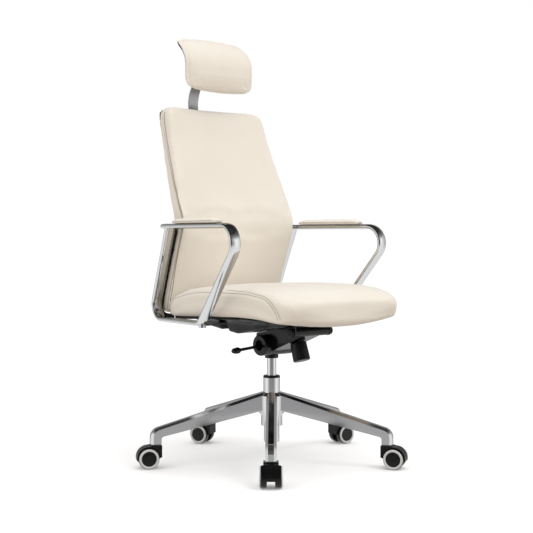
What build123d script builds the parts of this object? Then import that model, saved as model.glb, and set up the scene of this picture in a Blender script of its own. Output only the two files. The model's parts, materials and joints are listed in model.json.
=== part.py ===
"""Swivel office chair with a star base, gas lift, knee-tilt mechanism, loop arms and headrest.

Frame: origin on the floor under the gas lift, +Z up, the sitter faces -Y and +X is the sitter's left.
All sizes are in millimetres.
"""

import os
from math import atan, cos, degrees, radians, sin

from build123d import *

os.makedirs("parts", exist_ok=True)

# Clearances
GAP = 0.5
RUNNING = 0.05
SNUG = 0.02

# Star base
STEM_CIRCLE = 350
FRONT_LEG_AZIMUTH = -41
LEG_COUNT = 5
LEG_WIDTH = 30
LEG_ROOT = 8
LEG_ROOT_TOP = 210
LEG_ROOT_BOTTOM = 156
LEG_TIP_TOP = 110
LEG_KNEE = 89
LEG_END_HALF = 15
LEG_END_BOTTOM = 68.6
LEG_OUTER_BEND = 30
LEG_INNER_BEND = 9
LEG_BEVEL = 7
STEM_SOCKET = 33
HUB_TOP = 204
HUB_RADIUS = 37
HUB_CROWN_DROP = 10
HUB_CROWN_INSET = 8
HUB_FLARE_BOTTOM = 136
HUB_FLARE_TOP = 142
BOSS_RADIUS = 32
BOSS_BOTTOM = 106
TUBE_STEP = 128

# Casters: the heading of each wheel pair, counted from the leg that carries it
CASTER_NAMES = ["front", "right_front", "right_rear", "left_rear", "left_front"]
CASTER_HEADINGS = [0.5, -5, 30, -19, 0.5]
CASTER_TRAIL = 21
WHEEL_RADIUS = 30
WHEEL_INNER = 10.8
WHEEL_OUTER = 28.8
WHEEL_BORE_END = 26.4
TREAD_BEVEL = 1.5
RIM_START = 5
RIM_DEPTH = 3
RING_WIDTH = 5
RING_STEP = 1.2
DISC_RADIUS = 10
DISC_DROP = 0.6
HUB_DROP = 0.4
HOOD_RADIUS = 33.5
HOOD_WIDTH = 41
HOOD_TOP = 66
HOOD_REAR = -17
HOOD_REAR_BOTTOM = 33
HOOD_CROWN_START = 12
HOOD_MOUTH_ANGLE = -12
HOOD_FOOT = 19
HOOD_FOOT_HALF = 8
HOOD_FOOT_REACH = 13
WHEEL_ROOM = 1.2
WEB_WIDTH = 20.4
STEM_RADIUS = 5.5
STEM_LENGTH = 54
STEM_DEPTH = 21
AXLE_RADIUS = 4
AXLE_HALF = 26

# Gas lift
TUBE_RADIUS = 25
TUBE_LOWER_RADIUS = 23
TUBE_BORE = 20
TUBE_BOTTOM = 56
TUBE_TOP = 247
TUBE_FLOOR = 5
TUBE_BEVEL = 2
BUSH_TOP = 253.5
BEARING_RADIUS = 16
BEARING_HEIGHT = 7
ROD_RADIUS = 5
ROD_SHOULDER = 9
ROD_SHOULDER_HEIGHT = 5
PISTON_BOTTOM = 226
PISTON_TOP = 234
CLIP_BOTTOM = 52
CLIP_TOP = 54
CLIP_RADIUS = 10
CLIP_MOUTH = 4
CYLINDER_RADIUS = 14
CYLINDER_BORE = 12
CYLINDER_BOTTOM = 140
CYLINDER_TOP = 334
CYLINDER_FLOOR = 8
CYLINDER_CAP = 16
BUTTON_RADIUS = 3
BUTTON_TOP = 340
BUTTON_LENGTH = 18

# Tilt mechanism
PIVOT_Y = -168
PIVOT_Z = 393
HOUSING_OUTLINE = [
    (30, 379),
    (30, 330),
    (16, 322),
    (-34, 327),
    (PIVOT_Y - 6, 381.5),
    (PIVOT_Y - 2, 405.5),
    (-100, 403),
    (0, 384),
]
HOUSING_ROUNDS = [6, 10, 6, 12, 0, 0, 10, 10]
HOUSING_HALF = 34
SOCKET_BOTTOM = 305
SOCKET_RADIUS = 20
SOCKET_HEIGHT = 30
PIVOT_TUBE_RADIUS = 13
PIVOT_RADIUS = 6
CROSS_BOSS_Y = -13
CROSS_BOSS_Z = 346
CROSS_BOSS_RADIUS = 31
CROSS_BOSS_HALF = 60
CROSS_BOSS_ROUND = 5
VALVE_ROOM_CENTRE = (-6.5, -10)
VALVE_ROOM_WIDTH = 35
VALVE_ROOM_DEPTH = 38
VALVE_ROOM_HEIGHT = 24
LEVER_BORE = 16
LEVER_BORE_END = 20
LEVER_PIVOT_X = -30
LEVER_TIP_X = -142
LEVER_DROOP = 5
LEVER_ROD = 4.5
LEVER_PIN_RADIUS = 3
LEVER_PIN_HALF = 12
SLEEVE_OUTER = -46
SLEEVE_INNER = -23.5
SLEEVE_SLOT_WIDTH = 13
SLEEVE_SLOT_HEIGHT = 24
TONGUE_BOTTOM = 340.6
TONGUE_THICKNESS = 5
TONGUE_MIDDLE = -21.5
TONGUE_LENGTH = 25
TONGUE_WIDTH = 10
PRESSER_MIDDLE = (-5, 6)
PRESSER_LENGTH = 16
PRESSER_WIDTH = 22
PADDLE_ROWS = [(-10, 14, 12), (-3, 22, 18), (10, 21, 16), (16, 14, 9)]
PADDLE_BORE = 7
KNOB_CENTRE = (0, -125, 332)
KNOB_LEAN = 18
KNOB_RADIUS = 25
KNOB_HALF = 27
KNOB_TAPER = 1.5
KNOB_ROUND = 4
KNOB_FLUTES = 12
FLUTE_RADIUS = 8.2
FLUTE_OUTSET = 7
FLUTE_START = 6
NECK_RADIUS = 15
NECK_GAP = 2
NECK_LENGTH = 14
CAVITY_FLOOR = 36
CAVITY_ROOF = 90
SPRING_CAVITY = 20
SPRING_OUTER = 17
SPRING_INNER = 12
SPRING_LENGTH = 36
NUT_BOTTOM = 45
NUT_TOP = 53
TENSION_BOLT_RADIUS = 5
TENSION_BOLT_TOP = 66
TENSION_HEAD_RADIUS = 8
TENSION_HEAD_HEIGHT = 8
TENSION_HEAD_START = 8

# Seat support
FLANGE_INNER = 66
FLANGE_OUTER = 70
FLANGE_OUTLINE = [(-182, 424), (70, 424), (70, 416), (-128, 398), (-160, 381), (-182, 393)]
FLANGE_EYE = 14
PIVOT_CAP_RADIUS = 12
PIVOT_CAP_HEIGHT = 9
PIVOT_CAP_ROUND = 3
PLATE_HALF = 95
PLATE_ROUND = 12
PLATE_FRONT = -185
PLATE_REAR = 150
PLATE_BOTTOM = 424
PLATE_TOP = 428
OUTRIGGER_REACH = 176
OUTRIGGER_BOTTOM = 419.5
PAN_TOP = 437
PAN_BOTTOM = 414
PAN_LOW_MIDDLE = -20
PAN_LOW_HALF = 178
PAN_LOW_LENGTH = 320
PAN_LOW_ROUND = 40
PAN_HIGH_MIDDLE = -10
PAN_HIGH_HALF = 206
PAN_HIGH_LENGTH = 404
PAN_HIGH_ROUND = 60
BOLT_RADIUS = 4
HEAD_RADIUS = 7
HEAD_HEIGHT = 4.5
SEAT_BOLT_X = 82
SEAT_BOLT_ROWS = [-160, 130]
BRACKET_BOLT_X = 25
BRACKET_BOLT_ROWS = [80, 130]

# Arms: each loop lies in an upright plane that toes in towards the back
ARM_HALF_SPAN = 261.4
ARM_TOE = degrees(atan(0.114))
ARM_DEPTH = 34
ARM_THICKNESS = 15
ARM_TOP = 693
ARM_BOTTOM = 418.5
ARM_TIP = 205
ARM_FRONT_CORNER = -236
ARM_LOW_FRONT_CORNER = -4
ARM_LOW_REAR_CORNER = 280
ARM_POST_TOP = 174
ARM_BENDS = [50, 30, 45]
ARM_CROWN = 45
POST_STOP = 15
POST_RUN = (ARM_LOW_REAR_CORNER - ARM_POST_TOP) / (ARM_TOP - ARM_BOTTOM)
TAB_BOTTOM = 413.5
TAB_TOP = 419
TAB_WIDTH = 30
TAB_REACH = 97
TAB_CENTRE = -6
TAB_BOSS_RADIUS = 10
TAB_BOSS_BOTTOM = 407.5
ARM_BOLT_X = 170.5
ARM_BOLT_BITE = 6
ARM_BACK_BOLT_LENGTH = 42
ARM_BACK_BOLT_HEIGHTS = [510, 625]
SPACER_END = 213.5
SPACER_RADIUS = 6
PAD_FRONT = -95
PAD_REAR = 142
PAD_HALF = 19
PAD_HEIGHT = 14.5
PAD_EDGE = 0.62
PAD_ROWS = [(0, 0.8, 0.45), (0.03, 0.93, 0.8), (0.1, 1, 1), (0.9, 1, 1), (0.97, 0.93, 0.8), (1, 0.8, 0.45)]

# Back: rows of height, front edge, half width, depth of the front cushion at the side, and rear edge
BACK_ROWS = [
    (434, 240, 190, 13, 280),
    (442, 229, 207, 13, 287),
    (470, 220, 211, 13, 280),
    (520, 203, 213, 13, 263),
    (610, 171, 215, 13, 231),
    (680, 147, 215, 13, 208),
    (706, 143.5, 215, 13, 204),
    (732, 149, 215, 14, 210),
    (812, 181, 208, 24, 242),
    (890, 210, 199, 33, 273),
    (970, 238, 190, 40, 302),
    (1020, 252, 186, 43, 315),
    (1040, 258, 180, 43, 319),
    (1052, 264, 166, 40, 320),
    (1057, 271, 146, 33, 316),
]
BACK_CREASE = 8
BACK_FRONT_HOLLOW = 22
BACK_REAR_BOW = 28
BACK_SEAM_BOW = 25
BACK_PANEL_DRAW = 5
BACK_SHELL = 6
SHELL_GAP = 1.2
SHELL_INSET = 8
SHELL_TOP_INSET = 4
SHELL_TOP_START = 1030
SHELL_DRAW = 3
BACK_LEAN = 18.6
BACK_BOLT_RISES = [-60, 20]
BACK_BOLT_LENGTH = 30
BACK_BOLT_HOLE = 80
BRACKET_HALF = 40
BRACKET_THICKNESS = 6
BRACKET_FRONT = 60
BRACKET_TOP = 600
BRACKET_BEND = 20
BRACKET_MIDDLE = Vector(0, 304, 520)

# Headrest: rows of side position, bottom, top and how far the front swells forwards
HEAD_ROWS = [
    (130, 1149, 1238, -20),
    (128, 1134, 1254, -17),
    (120, 1121, 1264, -13),
    (98, 1112, 1271, -7),
    (50, 1108, 1275, 0),
    (0, 1107, 1276, 3),
]
HEAD_FRONT = 226
HEAD_DEPTH = 25
HEAD_BEND_Z = 1190
HEAD_LEAN = 0.0105
HEAD_SHELL = 5
HEAD_SHELL_GAP = 4.2
HEAD_EDGE = 8
HEAD_SHELL_EDGE = 1.5
HEAD_SHELL_SHARE = 0.945
HEAD_SHELL_RISE = 4
HEAD_SHELL_DROP = 1
STRAP_WIDTH = 36
STRAP_THICKNESS = 5
STRAP_CORNER = (404, 1124)
STRAP_BOTTOM_Z = 880
STRAP_SLOPE = 0.334
STRAP_BEND = 90
HINGE = (305, 1181)
HINGE_RADIUS = 4
LUG_THICKNESS = 8
LUG_ROOT_LOW = -16
LUG_ROOT_HIGH = 12
GUIDE_LOW = 930
GUIDE_HIGH = 1004
GUIDE_WALL = 5
GUIDE_FLANK = 8
GUIDE_FRONT = -17
GUIDE_ROUND = 4
GUIDE_PLAY = 0.6

# Seat: rows of depth position, half width, bottom, side seam and crown
SEAT_ROWS = [
    (214, 216, 442, 456, 462),
    (208, 226, 439, 470, 484),
    (180, 230, 437.5, 482, 501),
    (134, 231, 437.5, 492, 514),
    (60, 232, 437.5, 501, 524),
    (-60, 232, 437.5, 506, 529),
    (-160, 232, 437.5, 504, 529),
    (-214, 232, 437, 498, 526),
    (-250, 231, 424, 491, 521),
    (-280, 227, 415, 485, 514),
    (-303, 216, 417, 481, 505),
    (-318, 198, 426, 478, 496),
    (-326, 172, 438, 475, 487),
]
SEAT_SHOULDER = 46
SEAT_SHOULDER_RISE = 0.78
SEAT_SHOULDER_FULL = 0.72
SEAT_SIDE_DRAW = 7
SEAT_SIDE_SWELL = 3
SEAT_LIP_START = -214
SEAT_LIP_SLOPE = 0.26

UP = Vector(0, 0, 1)


def heading(azimuth):
    """Level direction at an azimuth counted from the front of the chair."""
    return Vector(sin(radians(azimuth)), -cos(radians(azimuth)), 0)


def upright(origin, along):
    """Vertical plane whose first axis runs along a level direction and whose second axis is up."""
    return Plane(origin=origin, x_dir=along, z_dir=along.cross(UP))


def save(builder, name):
    """Label a finished piece and write it under its name."""
    builder.part.label = name
    export_step(builder.part, f"parts/{name}.step")


# Star base: a turned hub with five bevelled legs that end in caster sockets
with BuildPart() as leg:
    with BuildSketch(upright((0, 0, 0), heading(0))):
        with BuildLine():
            FilletPolyline(
                (LEG_ROOT, LEG_ROOT_TOP),
                (STEM_CIRCLE + LEG_END_HALF, LEG_TIP_TOP),
                (STEM_CIRCLE + LEG_END_HALF, LEG_END_BOTTOM),
                (STEM_CIRCLE - LEG_END_HALF, LEG_END_BOTTOM),
                (STEM_CIRCLE - LEG_END_HALF, LEG_KNEE),
                (LEG_ROOT, LEG_ROOT_BOTTOM),
                radius=[0, LEG_OUTER_BEND, 0, 0, LEG_INNER_BEND, 0],
                close=True,
            )
        make_face()
    extrude(amount=LEG_WIDTH / 2, both=True)
    outer_faces = [f for f in leg.faces() if f.normal_at().Z - f.normal_at().Y > 0.5]
    ridge = [e for f in outer_faces for e in f.edges() if abs(e.center().X) > LEG_WIDTH / 2 - 0.1]
    chamfer(ridge, LEG_BEVEL)
    with BuildSketch(Plane.XY.offset(LEG_END_BOTTOM)):
        with Locations((0, -STEM_CIRCLE)):
            Circle(STEM_RADIUS + RUNNING)
    extrude(amount=STEM_SOCKET, mode=Mode.SUBTRACT)

with BuildPart() as star_base:
    with BuildSketch(Plane.XZ):
        with BuildLine():
            Polyline(
                (0, BOSS_BOTTOM),
                (BOSS_RADIUS, BOSS_BOTTOM),
                (BOSS_RADIUS, HUB_FLARE_BOTTOM),
                (HUB_RADIUS, HUB_FLARE_TOP),
                (HUB_RADIUS, HUB_TOP - HUB_CROWN_DROP),
                (HUB_RADIUS - HUB_CROWN_INSET, HUB_TOP),
                (0, HUB_TOP),
                close=True,
            )
        make_face()
    revolve(axis=Axis.Z)
    for number in range(LEG_COUNT):
        add(leg.part, rotation=(0, 0, FRONT_LEG_AZIMUTH + number * 360 / LEG_COUNT))
    with BuildSketch(Plane.XY.offset(BOSS_BOTTOM)):
        Circle(TUBE_LOWER_RADIUS + SNUG)
    extrude(amount=HUB_TOP, mode=Mode.SUBTRACT)
    with BuildSketch(Plane.XY.offset(TUBE_STEP)):
        Circle(TUBE_RADIUS + SNUG)
    extrude(amount=HUB_TOP, mode=Mode.SUBTRACT)
save(star_base, "star_base")

# Gas lift: outer tube, guide bush, thrust bearing, piston rod, clip, cylinder and valve button
with BuildPart() as lift_outer_tube:
    with BuildSketch(Plane.XZ):
        with BuildLine():
            Polyline(
                (ROD_RADIUS + RUNNING, TUBE_BOTTOM),
                (TUBE_LOWER_RADIUS - TUBE_BEVEL, TUBE_BOTTOM),
                (TUBE_LOWER_RADIUS, TUBE_BOTTOM + TUBE_BEVEL),
                (TUBE_LOWER_RADIUS, TUBE_STEP + SNUG),
                (TUBE_RADIUS, TUBE_STEP + SNUG),
                (TUBE_RADIUS, TUBE_TOP),
                (TUBE_BORE, TUBE_TOP),
                (TUBE_BORE, TUBE_BOTTOM + TUBE_FLOOR),
                (ROD_RADIUS + RUNNING, TUBE_BOTTOM + TUBE_FLOOR),
                close=True,
            )
        make_face()
    revolve(axis=Axis.Z)
save(lift_outer_tube, "lift_outer_tube")

with BuildPart() as lift_guide_bush:
    with BuildSketch(Plane.XZ):
        with BuildLine():
            Polyline(
                (CYLINDER_RADIUS + RUNNING, HUB_TOP),
                (TUBE_BORE - SNUG, HUB_TOP),
                (TUBE_BORE - SNUG, TUBE_TOP + SNUG),
                (TUBE_RADIUS, TUBE_TOP + SNUG),
                (TUBE_RADIUS, BUSH_TOP - TUBE_BEVEL),
                (TUBE_RADIUS - TUBE_BEVEL, BUSH_TOP),
                (CYLINDER_RADIUS + RUNNING, BUSH_TOP),
                close=True,
            )
        make_face()
    revolve(axis=Axis.Z)
save(lift_guide_bush, "lift_guide_bush")

BEARING_BOTTOM = TUBE_BOTTOM + TUBE_FLOOR + SNUG
BEARING_TOP = BEARING_BOTTOM + BEARING_HEIGHT
with BuildPart() as lift_thrust_bearing:
    with BuildSketch(Plane.XY.offset(BEARING_BOTTOM)):
        Circle(BEARING_RADIUS)
        Circle(ROD_RADIUS + RUNNING, mode=Mode.SUBTRACT)
    extrude(amount=BEARING_HEIGHT)
save(lift_thrust_bearing, "lift_thrust_bearing")

CLIP_SEAT = 2
with BuildPart() as piston_rod:
    with BuildSketch(Plane.XZ):
        with BuildLine():
            Polyline(
                (0, CLIP_BOTTOM - CLIP_SEAT),
                (ROD_RADIUS, CLIP_BOTTOM - CLIP_SEAT),
                (ROD_RADIUS, BEARING_TOP + SNUG),
                (ROD_SHOULDER, BEARING_TOP + SNUG),
                (ROD_SHOULDER, BEARING_TOP + ROD_SHOULDER_HEIGHT),
                (ROD_RADIUS, BEARING_TOP + ROD_SHOULDER_HEIGHT),
                (ROD_RADIUS, PISTON_BOTTOM),
                (CYLINDER_BORE - RUNNING, PISTON_BOTTOM),
                (CYLINDER_BORE - RUNNING, PISTON_TOP),
                (0, PISTON_TOP),
                close=True,
            )
        make_face()
    revolve(axis=Axis.Z)
save(piston_rod, "piston_rod")

with BuildPart() as lift_retaining_clip:
    with BuildSketch(Plane.XY.offset(CLIP_BOTTOM)):
        Circle(CLIP_RADIUS)
        Circle(ROD_RADIUS + SNUG, mode=Mode.SUBTRACT)
        with Locations((CLIP_RADIUS - CLIP_SEAT, 0)):
            Rectangle(2 * CLIP_MOUTH, CLIP_MOUTH, mode=Mode.SUBTRACT)
    extrude(amount=CLIP_TOP - CLIP_BOTTOM)
save(lift_retaining_clip, "lift_retaining_clip")

CYLINDER_BEVEL = 2
with BuildPart() as gas_cylinder:
    with BuildSketch(Plane.XZ):
        with BuildLine():
            Polyline(
                (ROD_RADIUS + RUNNING, CYLINDER_BOTTOM),
                (CYLINDER_RADIUS - CYLINDER_BEVEL, CYLINDER_BOTTOM),
                (CYLINDER_RADIUS, CYLINDER_BOTTOM + CYLINDER_BEVEL),
                (CYLINDER_RADIUS, CYLINDER_TOP - CYLINDER_BEVEL),
                (CYLINDER_RADIUS - CYLINDER_BEVEL, CYLINDER_TOP),
                (BUTTON_RADIUS + RUNNING, CYLINDER_TOP),
                (BUTTON_RADIUS + RUNNING, CYLINDER_TOP - CYLINDER_CAP),
                (CYLINDER_BORE, CYLINDER_TOP - CYLINDER_CAP),
                (CYLINDER_BORE, CYLINDER_BOTTOM + CYLINDER_FLOOR),
                (ROD_RADIUS + RUNNING, CYLINDER_BOTTOM + CYLINDER_FLOOR),
                close=True,
            )
        make_face()
    revolve(axis=Axis.Z)
save(gas_cylinder, "gas_cylinder")

with BuildPart() as valve_button:
    with BuildSketch(Plane.XY.offset(BUTTON_TOP - BUTTON_LENGTH)):
        Circle(BUTTON_RADIUS)
    extrude(amount=BUTTON_LENGTH)
save(valve_button, "valve_button")

# Tilt mechanism: a wedge housing with the lift socket, a cross boss for the lever and the front pivot
KNOB_AXIS = Vector(0, sin(radians(KNOB_LEAN)), cos(radians(KNOB_LEAN)))
knob_plane = Plane(origin=KNOB_CENTRE, x_dir=(1, 0, 0), z_dir=KNOB_AXIS)
SIDE = Plane.YZ
cross_boss_centre = (CROSS_BOSS_Y, CROSS_BOSS_Z)

with BuildPart() as mechanism_housing:
    with BuildSketch(SIDE):
        with BuildLine():
            FilletPolyline(*HOUSING_OUTLINE, radius=HOUSING_ROUNDS, close=True)
        make_face()
    extrude(amount=HOUSING_HALF, both=True)
    with BuildSketch(SIDE):
        with Locations((PIVOT_Y, PIVOT_Z)):
            Circle(PIVOT_TUBE_RADIUS)
    extrude(amount=FLANGE_INNER - 1, both=True)
    with BuildSketch(SIDE):
        with Locations(cross_boss_centre):
            Circle(CROSS_BOSS_RADIUS)
    extrude(amount=CROSS_BOSS_HALF, both=True)
    boss_rims = mechanism_housing.edges().filter_by(GeomType.CIRCLE)
    boss_rims = [e for e in boss_rims if abs(e.radius - CROSS_BOSS_RADIUS) < 0.1]
    boss_rims = [e for e in boss_rims if abs(abs(e.center().X) - CROSS_BOSS_HALF) < 0.1]
    fillet(boss_rims, CROSS_BOSS_ROUND)
    with BuildSketch(Plane.XY.offset(SOCKET_BOTTOM)):
        Circle(SOCKET_RADIUS)
    extrude(amount=SOCKET_HEIGHT)
    with BuildSketch(knob_plane.offset(KNOB_HALF + NECK_GAP)):
        Circle(NECK_RADIUS)
    extrude(amount=NECK_LENGTH)
    with BuildSketch(Plane.XY.offset(SOCKET_BOTTOM)):
        Circle(CYLINDER_RADIUS + SNUG)
    extrude(amount=CYLINDER_TOP - SOCKET_BOTTOM + GAP, mode=Mode.SUBTRACT)
    with BuildSketch(SIDE.offset(LEVER_BORE_END)):
        with Locations(cross_boss_centre):
            Circle(LEVER_BORE)
    extrude(amount=-CROSS_BOSS_HALF - LEVER_BORE_END - GAP, mode=Mode.SUBTRACT)
    with BuildSketch(Plane.XY.offset(CYLINDER_TOP + GAP)):
        with Locations(VALVE_ROOM_CENTRE):
            Rectangle(VALVE_ROOM_WIDTH, VALVE_ROOM_DEPTH)
    extrude(amount=VALVE_ROOM_HEIGHT, mode=Mode.SUBTRACT)
    with BuildSketch(SIDE):
        with Locations((PIVOT_Y, PIVOT_Z)):
            Circle(PIVOT_RADIUS + RUNNING)
    extrude(amount=FLANGE_INNER, both=True, mode=Mode.SUBTRACT)
    with BuildSketch(knob_plane.offset(CAVITY_FLOOR)):
        Circle(SPRING_CAVITY)
    extrude(amount=CAVITY_ROOF - CAVITY_FLOOR, mode=Mode.SUBTRACT)
    with BuildSketch(knob_plane):
        Circle(TENSION_BOLT_RADIUS + RUNNING)
    extrude(amount=CAVITY_ROOF, mode=Mode.SUBTRACT)
save(mechanism_housing, "mechanism_housing")

with BuildPart() as spring_nut:
    with BuildSketch(knob_plane.offset(NUT_BOTTOM)):
        Circle(SPRING_CAVITY - 2 * GAP)
        Circle(TENSION_BOLT_RADIUS + RUNNING, mode=Mode.SUBTRACT)
    extrude(amount=NUT_TOP - NUT_BOTTOM)
save(spring_nut, "spring_nut")

with BuildPart() as tilt_spring:
    with BuildSketch(knob_plane.offset(NUT_TOP + GAP)):
        Circle(SPRING_OUTER)
        Circle(SPRING_INNER, mode=Mode.SUBTRACT)
    extrude(amount=SPRING_LENGTH)
save(tilt_spring, "tilt_spring")

head_plane = knob_plane.offset(-KNOB_HALF + TENSION_HEAD_START)
with BuildPart() as tension_bolt:
    with BuildSketch(head_plane):
        RegularPolygon(TENSION_HEAD_RADIUS, 6)
    extrude(amount=TENSION_HEAD_HEIGHT)
    with BuildSketch(head_plane.offset(TENSION_HEAD_HEIGHT)):
        Circle(TENSION_BOLT_RADIUS)
    extrude(amount=TENSION_BOLT_TOP + KNOB_HALF - TENSION_HEAD_START - TENSION_HEAD_HEIGHT)
save(tension_bolt, "tension_bolt")

with BuildPart() as tension_knob:
    with BuildSketch(knob_plane.offset(-KNOB_HALF)):
        Circle(KNOB_RADIUS)
    extrude(amount=2 * KNOB_HALF, taper=KNOB_TAPER)
    fillet(tension_knob.edges().filter_by(GeomType.CIRCLE), KNOB_ROUND)
    with BuildSketch(knob_plane.offset(-KNOB_HALF + FLUTE_START)):
        with PolarLocations(KNOB_RADIUS + FLUTE_OUTSET, KNOB_FLUTES):
            Circle(FLUTE_RADIUS)
    extrude(amount=2 * KNOB_HALF, mode=Mode.SUBTRACT)
    with BuildSketch(head_plane.offset(-SNUG)):
        RegularPolygon(TENSION_HEAD_RADIUS + SNUG, 6)
    extrude(amount=TENSION_HEAD_HEIGHT + 2 * SNUG, mode=Mode.SUBTRACT)
    with BuildSketch(head_plane.offset(TENSION_HEAD_HEIGHT / 2)):
        Circle(TENSION_BOLT_RADIUS + SNUG)
    extrude(amount=2 * KNOB_HALF, mode=Mode.SUBTRACT)
save(tension_knob, "tension_knob")

# Lock bolt: a sleeve that slides in the cross boss and carries the lever on a cross pin
lever_pivot = (LEVER_PIVOT_X, CROSS_BOSS_Y, CROSS_BOSS_Z)
with BuildPart() as lock_bolt:
    with BuildSketch(SIDE.offset(SLEEVE_OUTER)):
        with Locations(cross_boss_centre):
            Circle(LEVER_BORE - RUNNING)
            Rectangle(SLEEVE_SLOT_WIDTH, SLEEVE_SLOT_HEIGHT, mode=Mode.SUBTRACT)
    extrude(amount=SLEEVE_INNER - SLEEVE_OUTER)
    with BuildSketch(Plane(origin=lever_pivot, x_dir=(1, 0, 0), z_dir=(0, 1, 0))):
        Circle(LEVER_PIN_RADIUS + RUNNING)
    extrude(amount=LEVER_BORE, both=True, mode=Mode.SUBTRACT)
save(lock_bolt, "lock_bolt")

# Lift lever: a drooping rod outside, a cross pin, and a tongue that reaches over the valve button
rod_direction = Vector(-cos(radians(LEVER_DROOP)), 0, -sin(radians(LEVER_DROOP)))
rod_plane = Plane(origin=lever_pivot, x_dir=(0, 1, 0), z_dir=rod_direction)
ROD_LENGTH = LEVER_PIVOT_X - LEVER_TIP_X
with BuildPart() as lift_lever:
    with BuildSketch(rod_plane.offset(-TONGUE_THICKNESS)):
        Circle(LEVER_ROD)
    extrude(amount=ROD_LENGTH)
    with BuildSketch(Plane(origin=lever_pivot, x_dir=(1, 0, 0), z_dir=(0, 1, 0))):
        Circle(LEVER_PIN_RADIUS)
    extrude(amount=LEVER_PIN_HALF, both=True)
    with BuildSketch(Plane.XY.offset(TONGUE_BOTTOM)):
        with Locations((TONGUE_MIDDLE, CROSS_BOSS_Y)):
            Rectangle(TONGUE_LENGTH, TONGUE_WIDTH)
        with Locations((PRESSER_MIDDLE[0], CROSS_BOSS_Y + PRESSER_MIDDLE[1])):
            Rectangle(PRESSER_LENGTH, PRESSER_WIDTH)
    extrude(amount=TONGUE_THICKNESS)
save(lift_lever, "lift_lever")

PADDLE_MOUTH = PADDLE_ROWS[0][0] - 2
with BuildPart() as lever_paddle:
    for reach, width, height in PADDLE_ROWS:
        with BuildSketch(rod_plane.offset(ROD_LENGTH + reach)):
            SlotOverall(width, height)
    loft(ruled=True)
    with BuildSketch(rod_plane.offset(ROD_LENGTH + PADDLE_MOUTH)):
        Circle(LEVER_ROD + SNUG)
    extrude(amount=PADDLE_BORE + SNUG, mode=Mode.SUBTRACT)
save(lever_paddle, "lever_paddle")

# Seat plate: a steel plate with side flanges on the front pivot and outriggers for the arms
SEAT_BOLTS = [(side * SEAT_BOLT_X, y) for side in (-1, 1) for y in SEAT_BOLT_ROWS]
ARM_BOLTS = [(side * ARM_BOLT_X, TAB_CENTRE) for side in (-1, 1)]
BRACKET_BOLTS = [(side * BRACKET_BOLT_X, y) for side in (-1, 1) for y in BRACKET_BOLT_ROWS]

with BuildPart() as seat_plate:
    with BuildSketch(Plane.XY.offset(PLATE_BOTTOM)):
        with Locations((0, (PLATE_FRONT + PLATE_REAR) / 2)):
            RectangleRounded(2 * PLATE_HALF, PLATE_REAR - PLATE_FRONT, PLATE_ROUND)
    extrude(amount=PLATE_TOP - PLATE_BOTTOM)
    for start in (FLANGE_INNER, -FLANGE_OUTER):
        with BuildSketch(SIDE.offset(start)):
            with BuildLine():
                Polyline(*FLANGE_OUTLINE, close=True)
            make_face()
            with Locations((PIVOT_Y, PIVOT_Z)):
                Circle(FLANGE_EYE)
        extrude(amount=FLANGE_OUTER - FLANGE_INNER)
    for side in (-1, 1):
        with BuildSketch(Plane.XY.offset(OUTRIGGER_BOTTOM)):
            with Locations((side * (OUTRIGGER_REACH + FLANGE_OUTER) / 2, TAB_CENTRE)):
                Rectangle(OUTRIGGER_REACH - FLANGE_OUTER + 2, TAB_WIDTH)
        extrude(amount=PLATE_BOTTOM - OUTRIGGER_BOTTOM + 2 * GAP)
    with BuildSketch(SIDE):
        with Locations((PIVOT_Y, PIVOT_Z)):
            Circle(PIVOT_RADIUS + SNUG)
    extrude(amount=FLANGE_OUTER + GAP, both=True, mode=Mode.SUBTRACT)
    with BuildSketch(Plane.XY.offset(OUTRIGGER_BOTTOM)):
        with Locations(*SEAT_BOLTS, *ARM_BOLTS, *BRACKET_BOLTS):
            Circle(BOLT_RADIUS + SNUG)
    extrude(amount=PLATE_TOP - OUTRIGGER_BOTTOM + GAP, mode=Mode.SUBTRACT)
save(seat_plate, "seat_plate")

with BuildPart() as pivot_shaft:
    with BuildSketch(SIDE):
        with Locations((PIVOT_Y, PIVOT_Z)):
            Circle(PIVOT_RADIUS)
    extrude(amount=FLANGE_OUTER + GAP, both=True)
    for start in (FLANGE_OUTER + GAP, -FLANGE_OUTER - GAP - PIVOT_CAP_HEIGHT):
        with BuildSketch(SIDE.offset(start)):
            with Locations((PIVOT_Y, PIVOT_Z)):
                Circle(PIVOT_CAP_RADIUS)
        extrude(amount=PIVOT_CAP_HEIGHT)
    rounds = pivot_shaft.edges().filter_by(GeomType.CIRCLE)
    cap_rims = [e for e in rounds if abs(e.center().X) > FLANGE_OUTER + PIVOT_CAP_HEIGHT / 2]
    fillet(cap_rims, PIVOT_CAP_ROUND)
save(pivot_shaft, "pivot_shaft")

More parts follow.
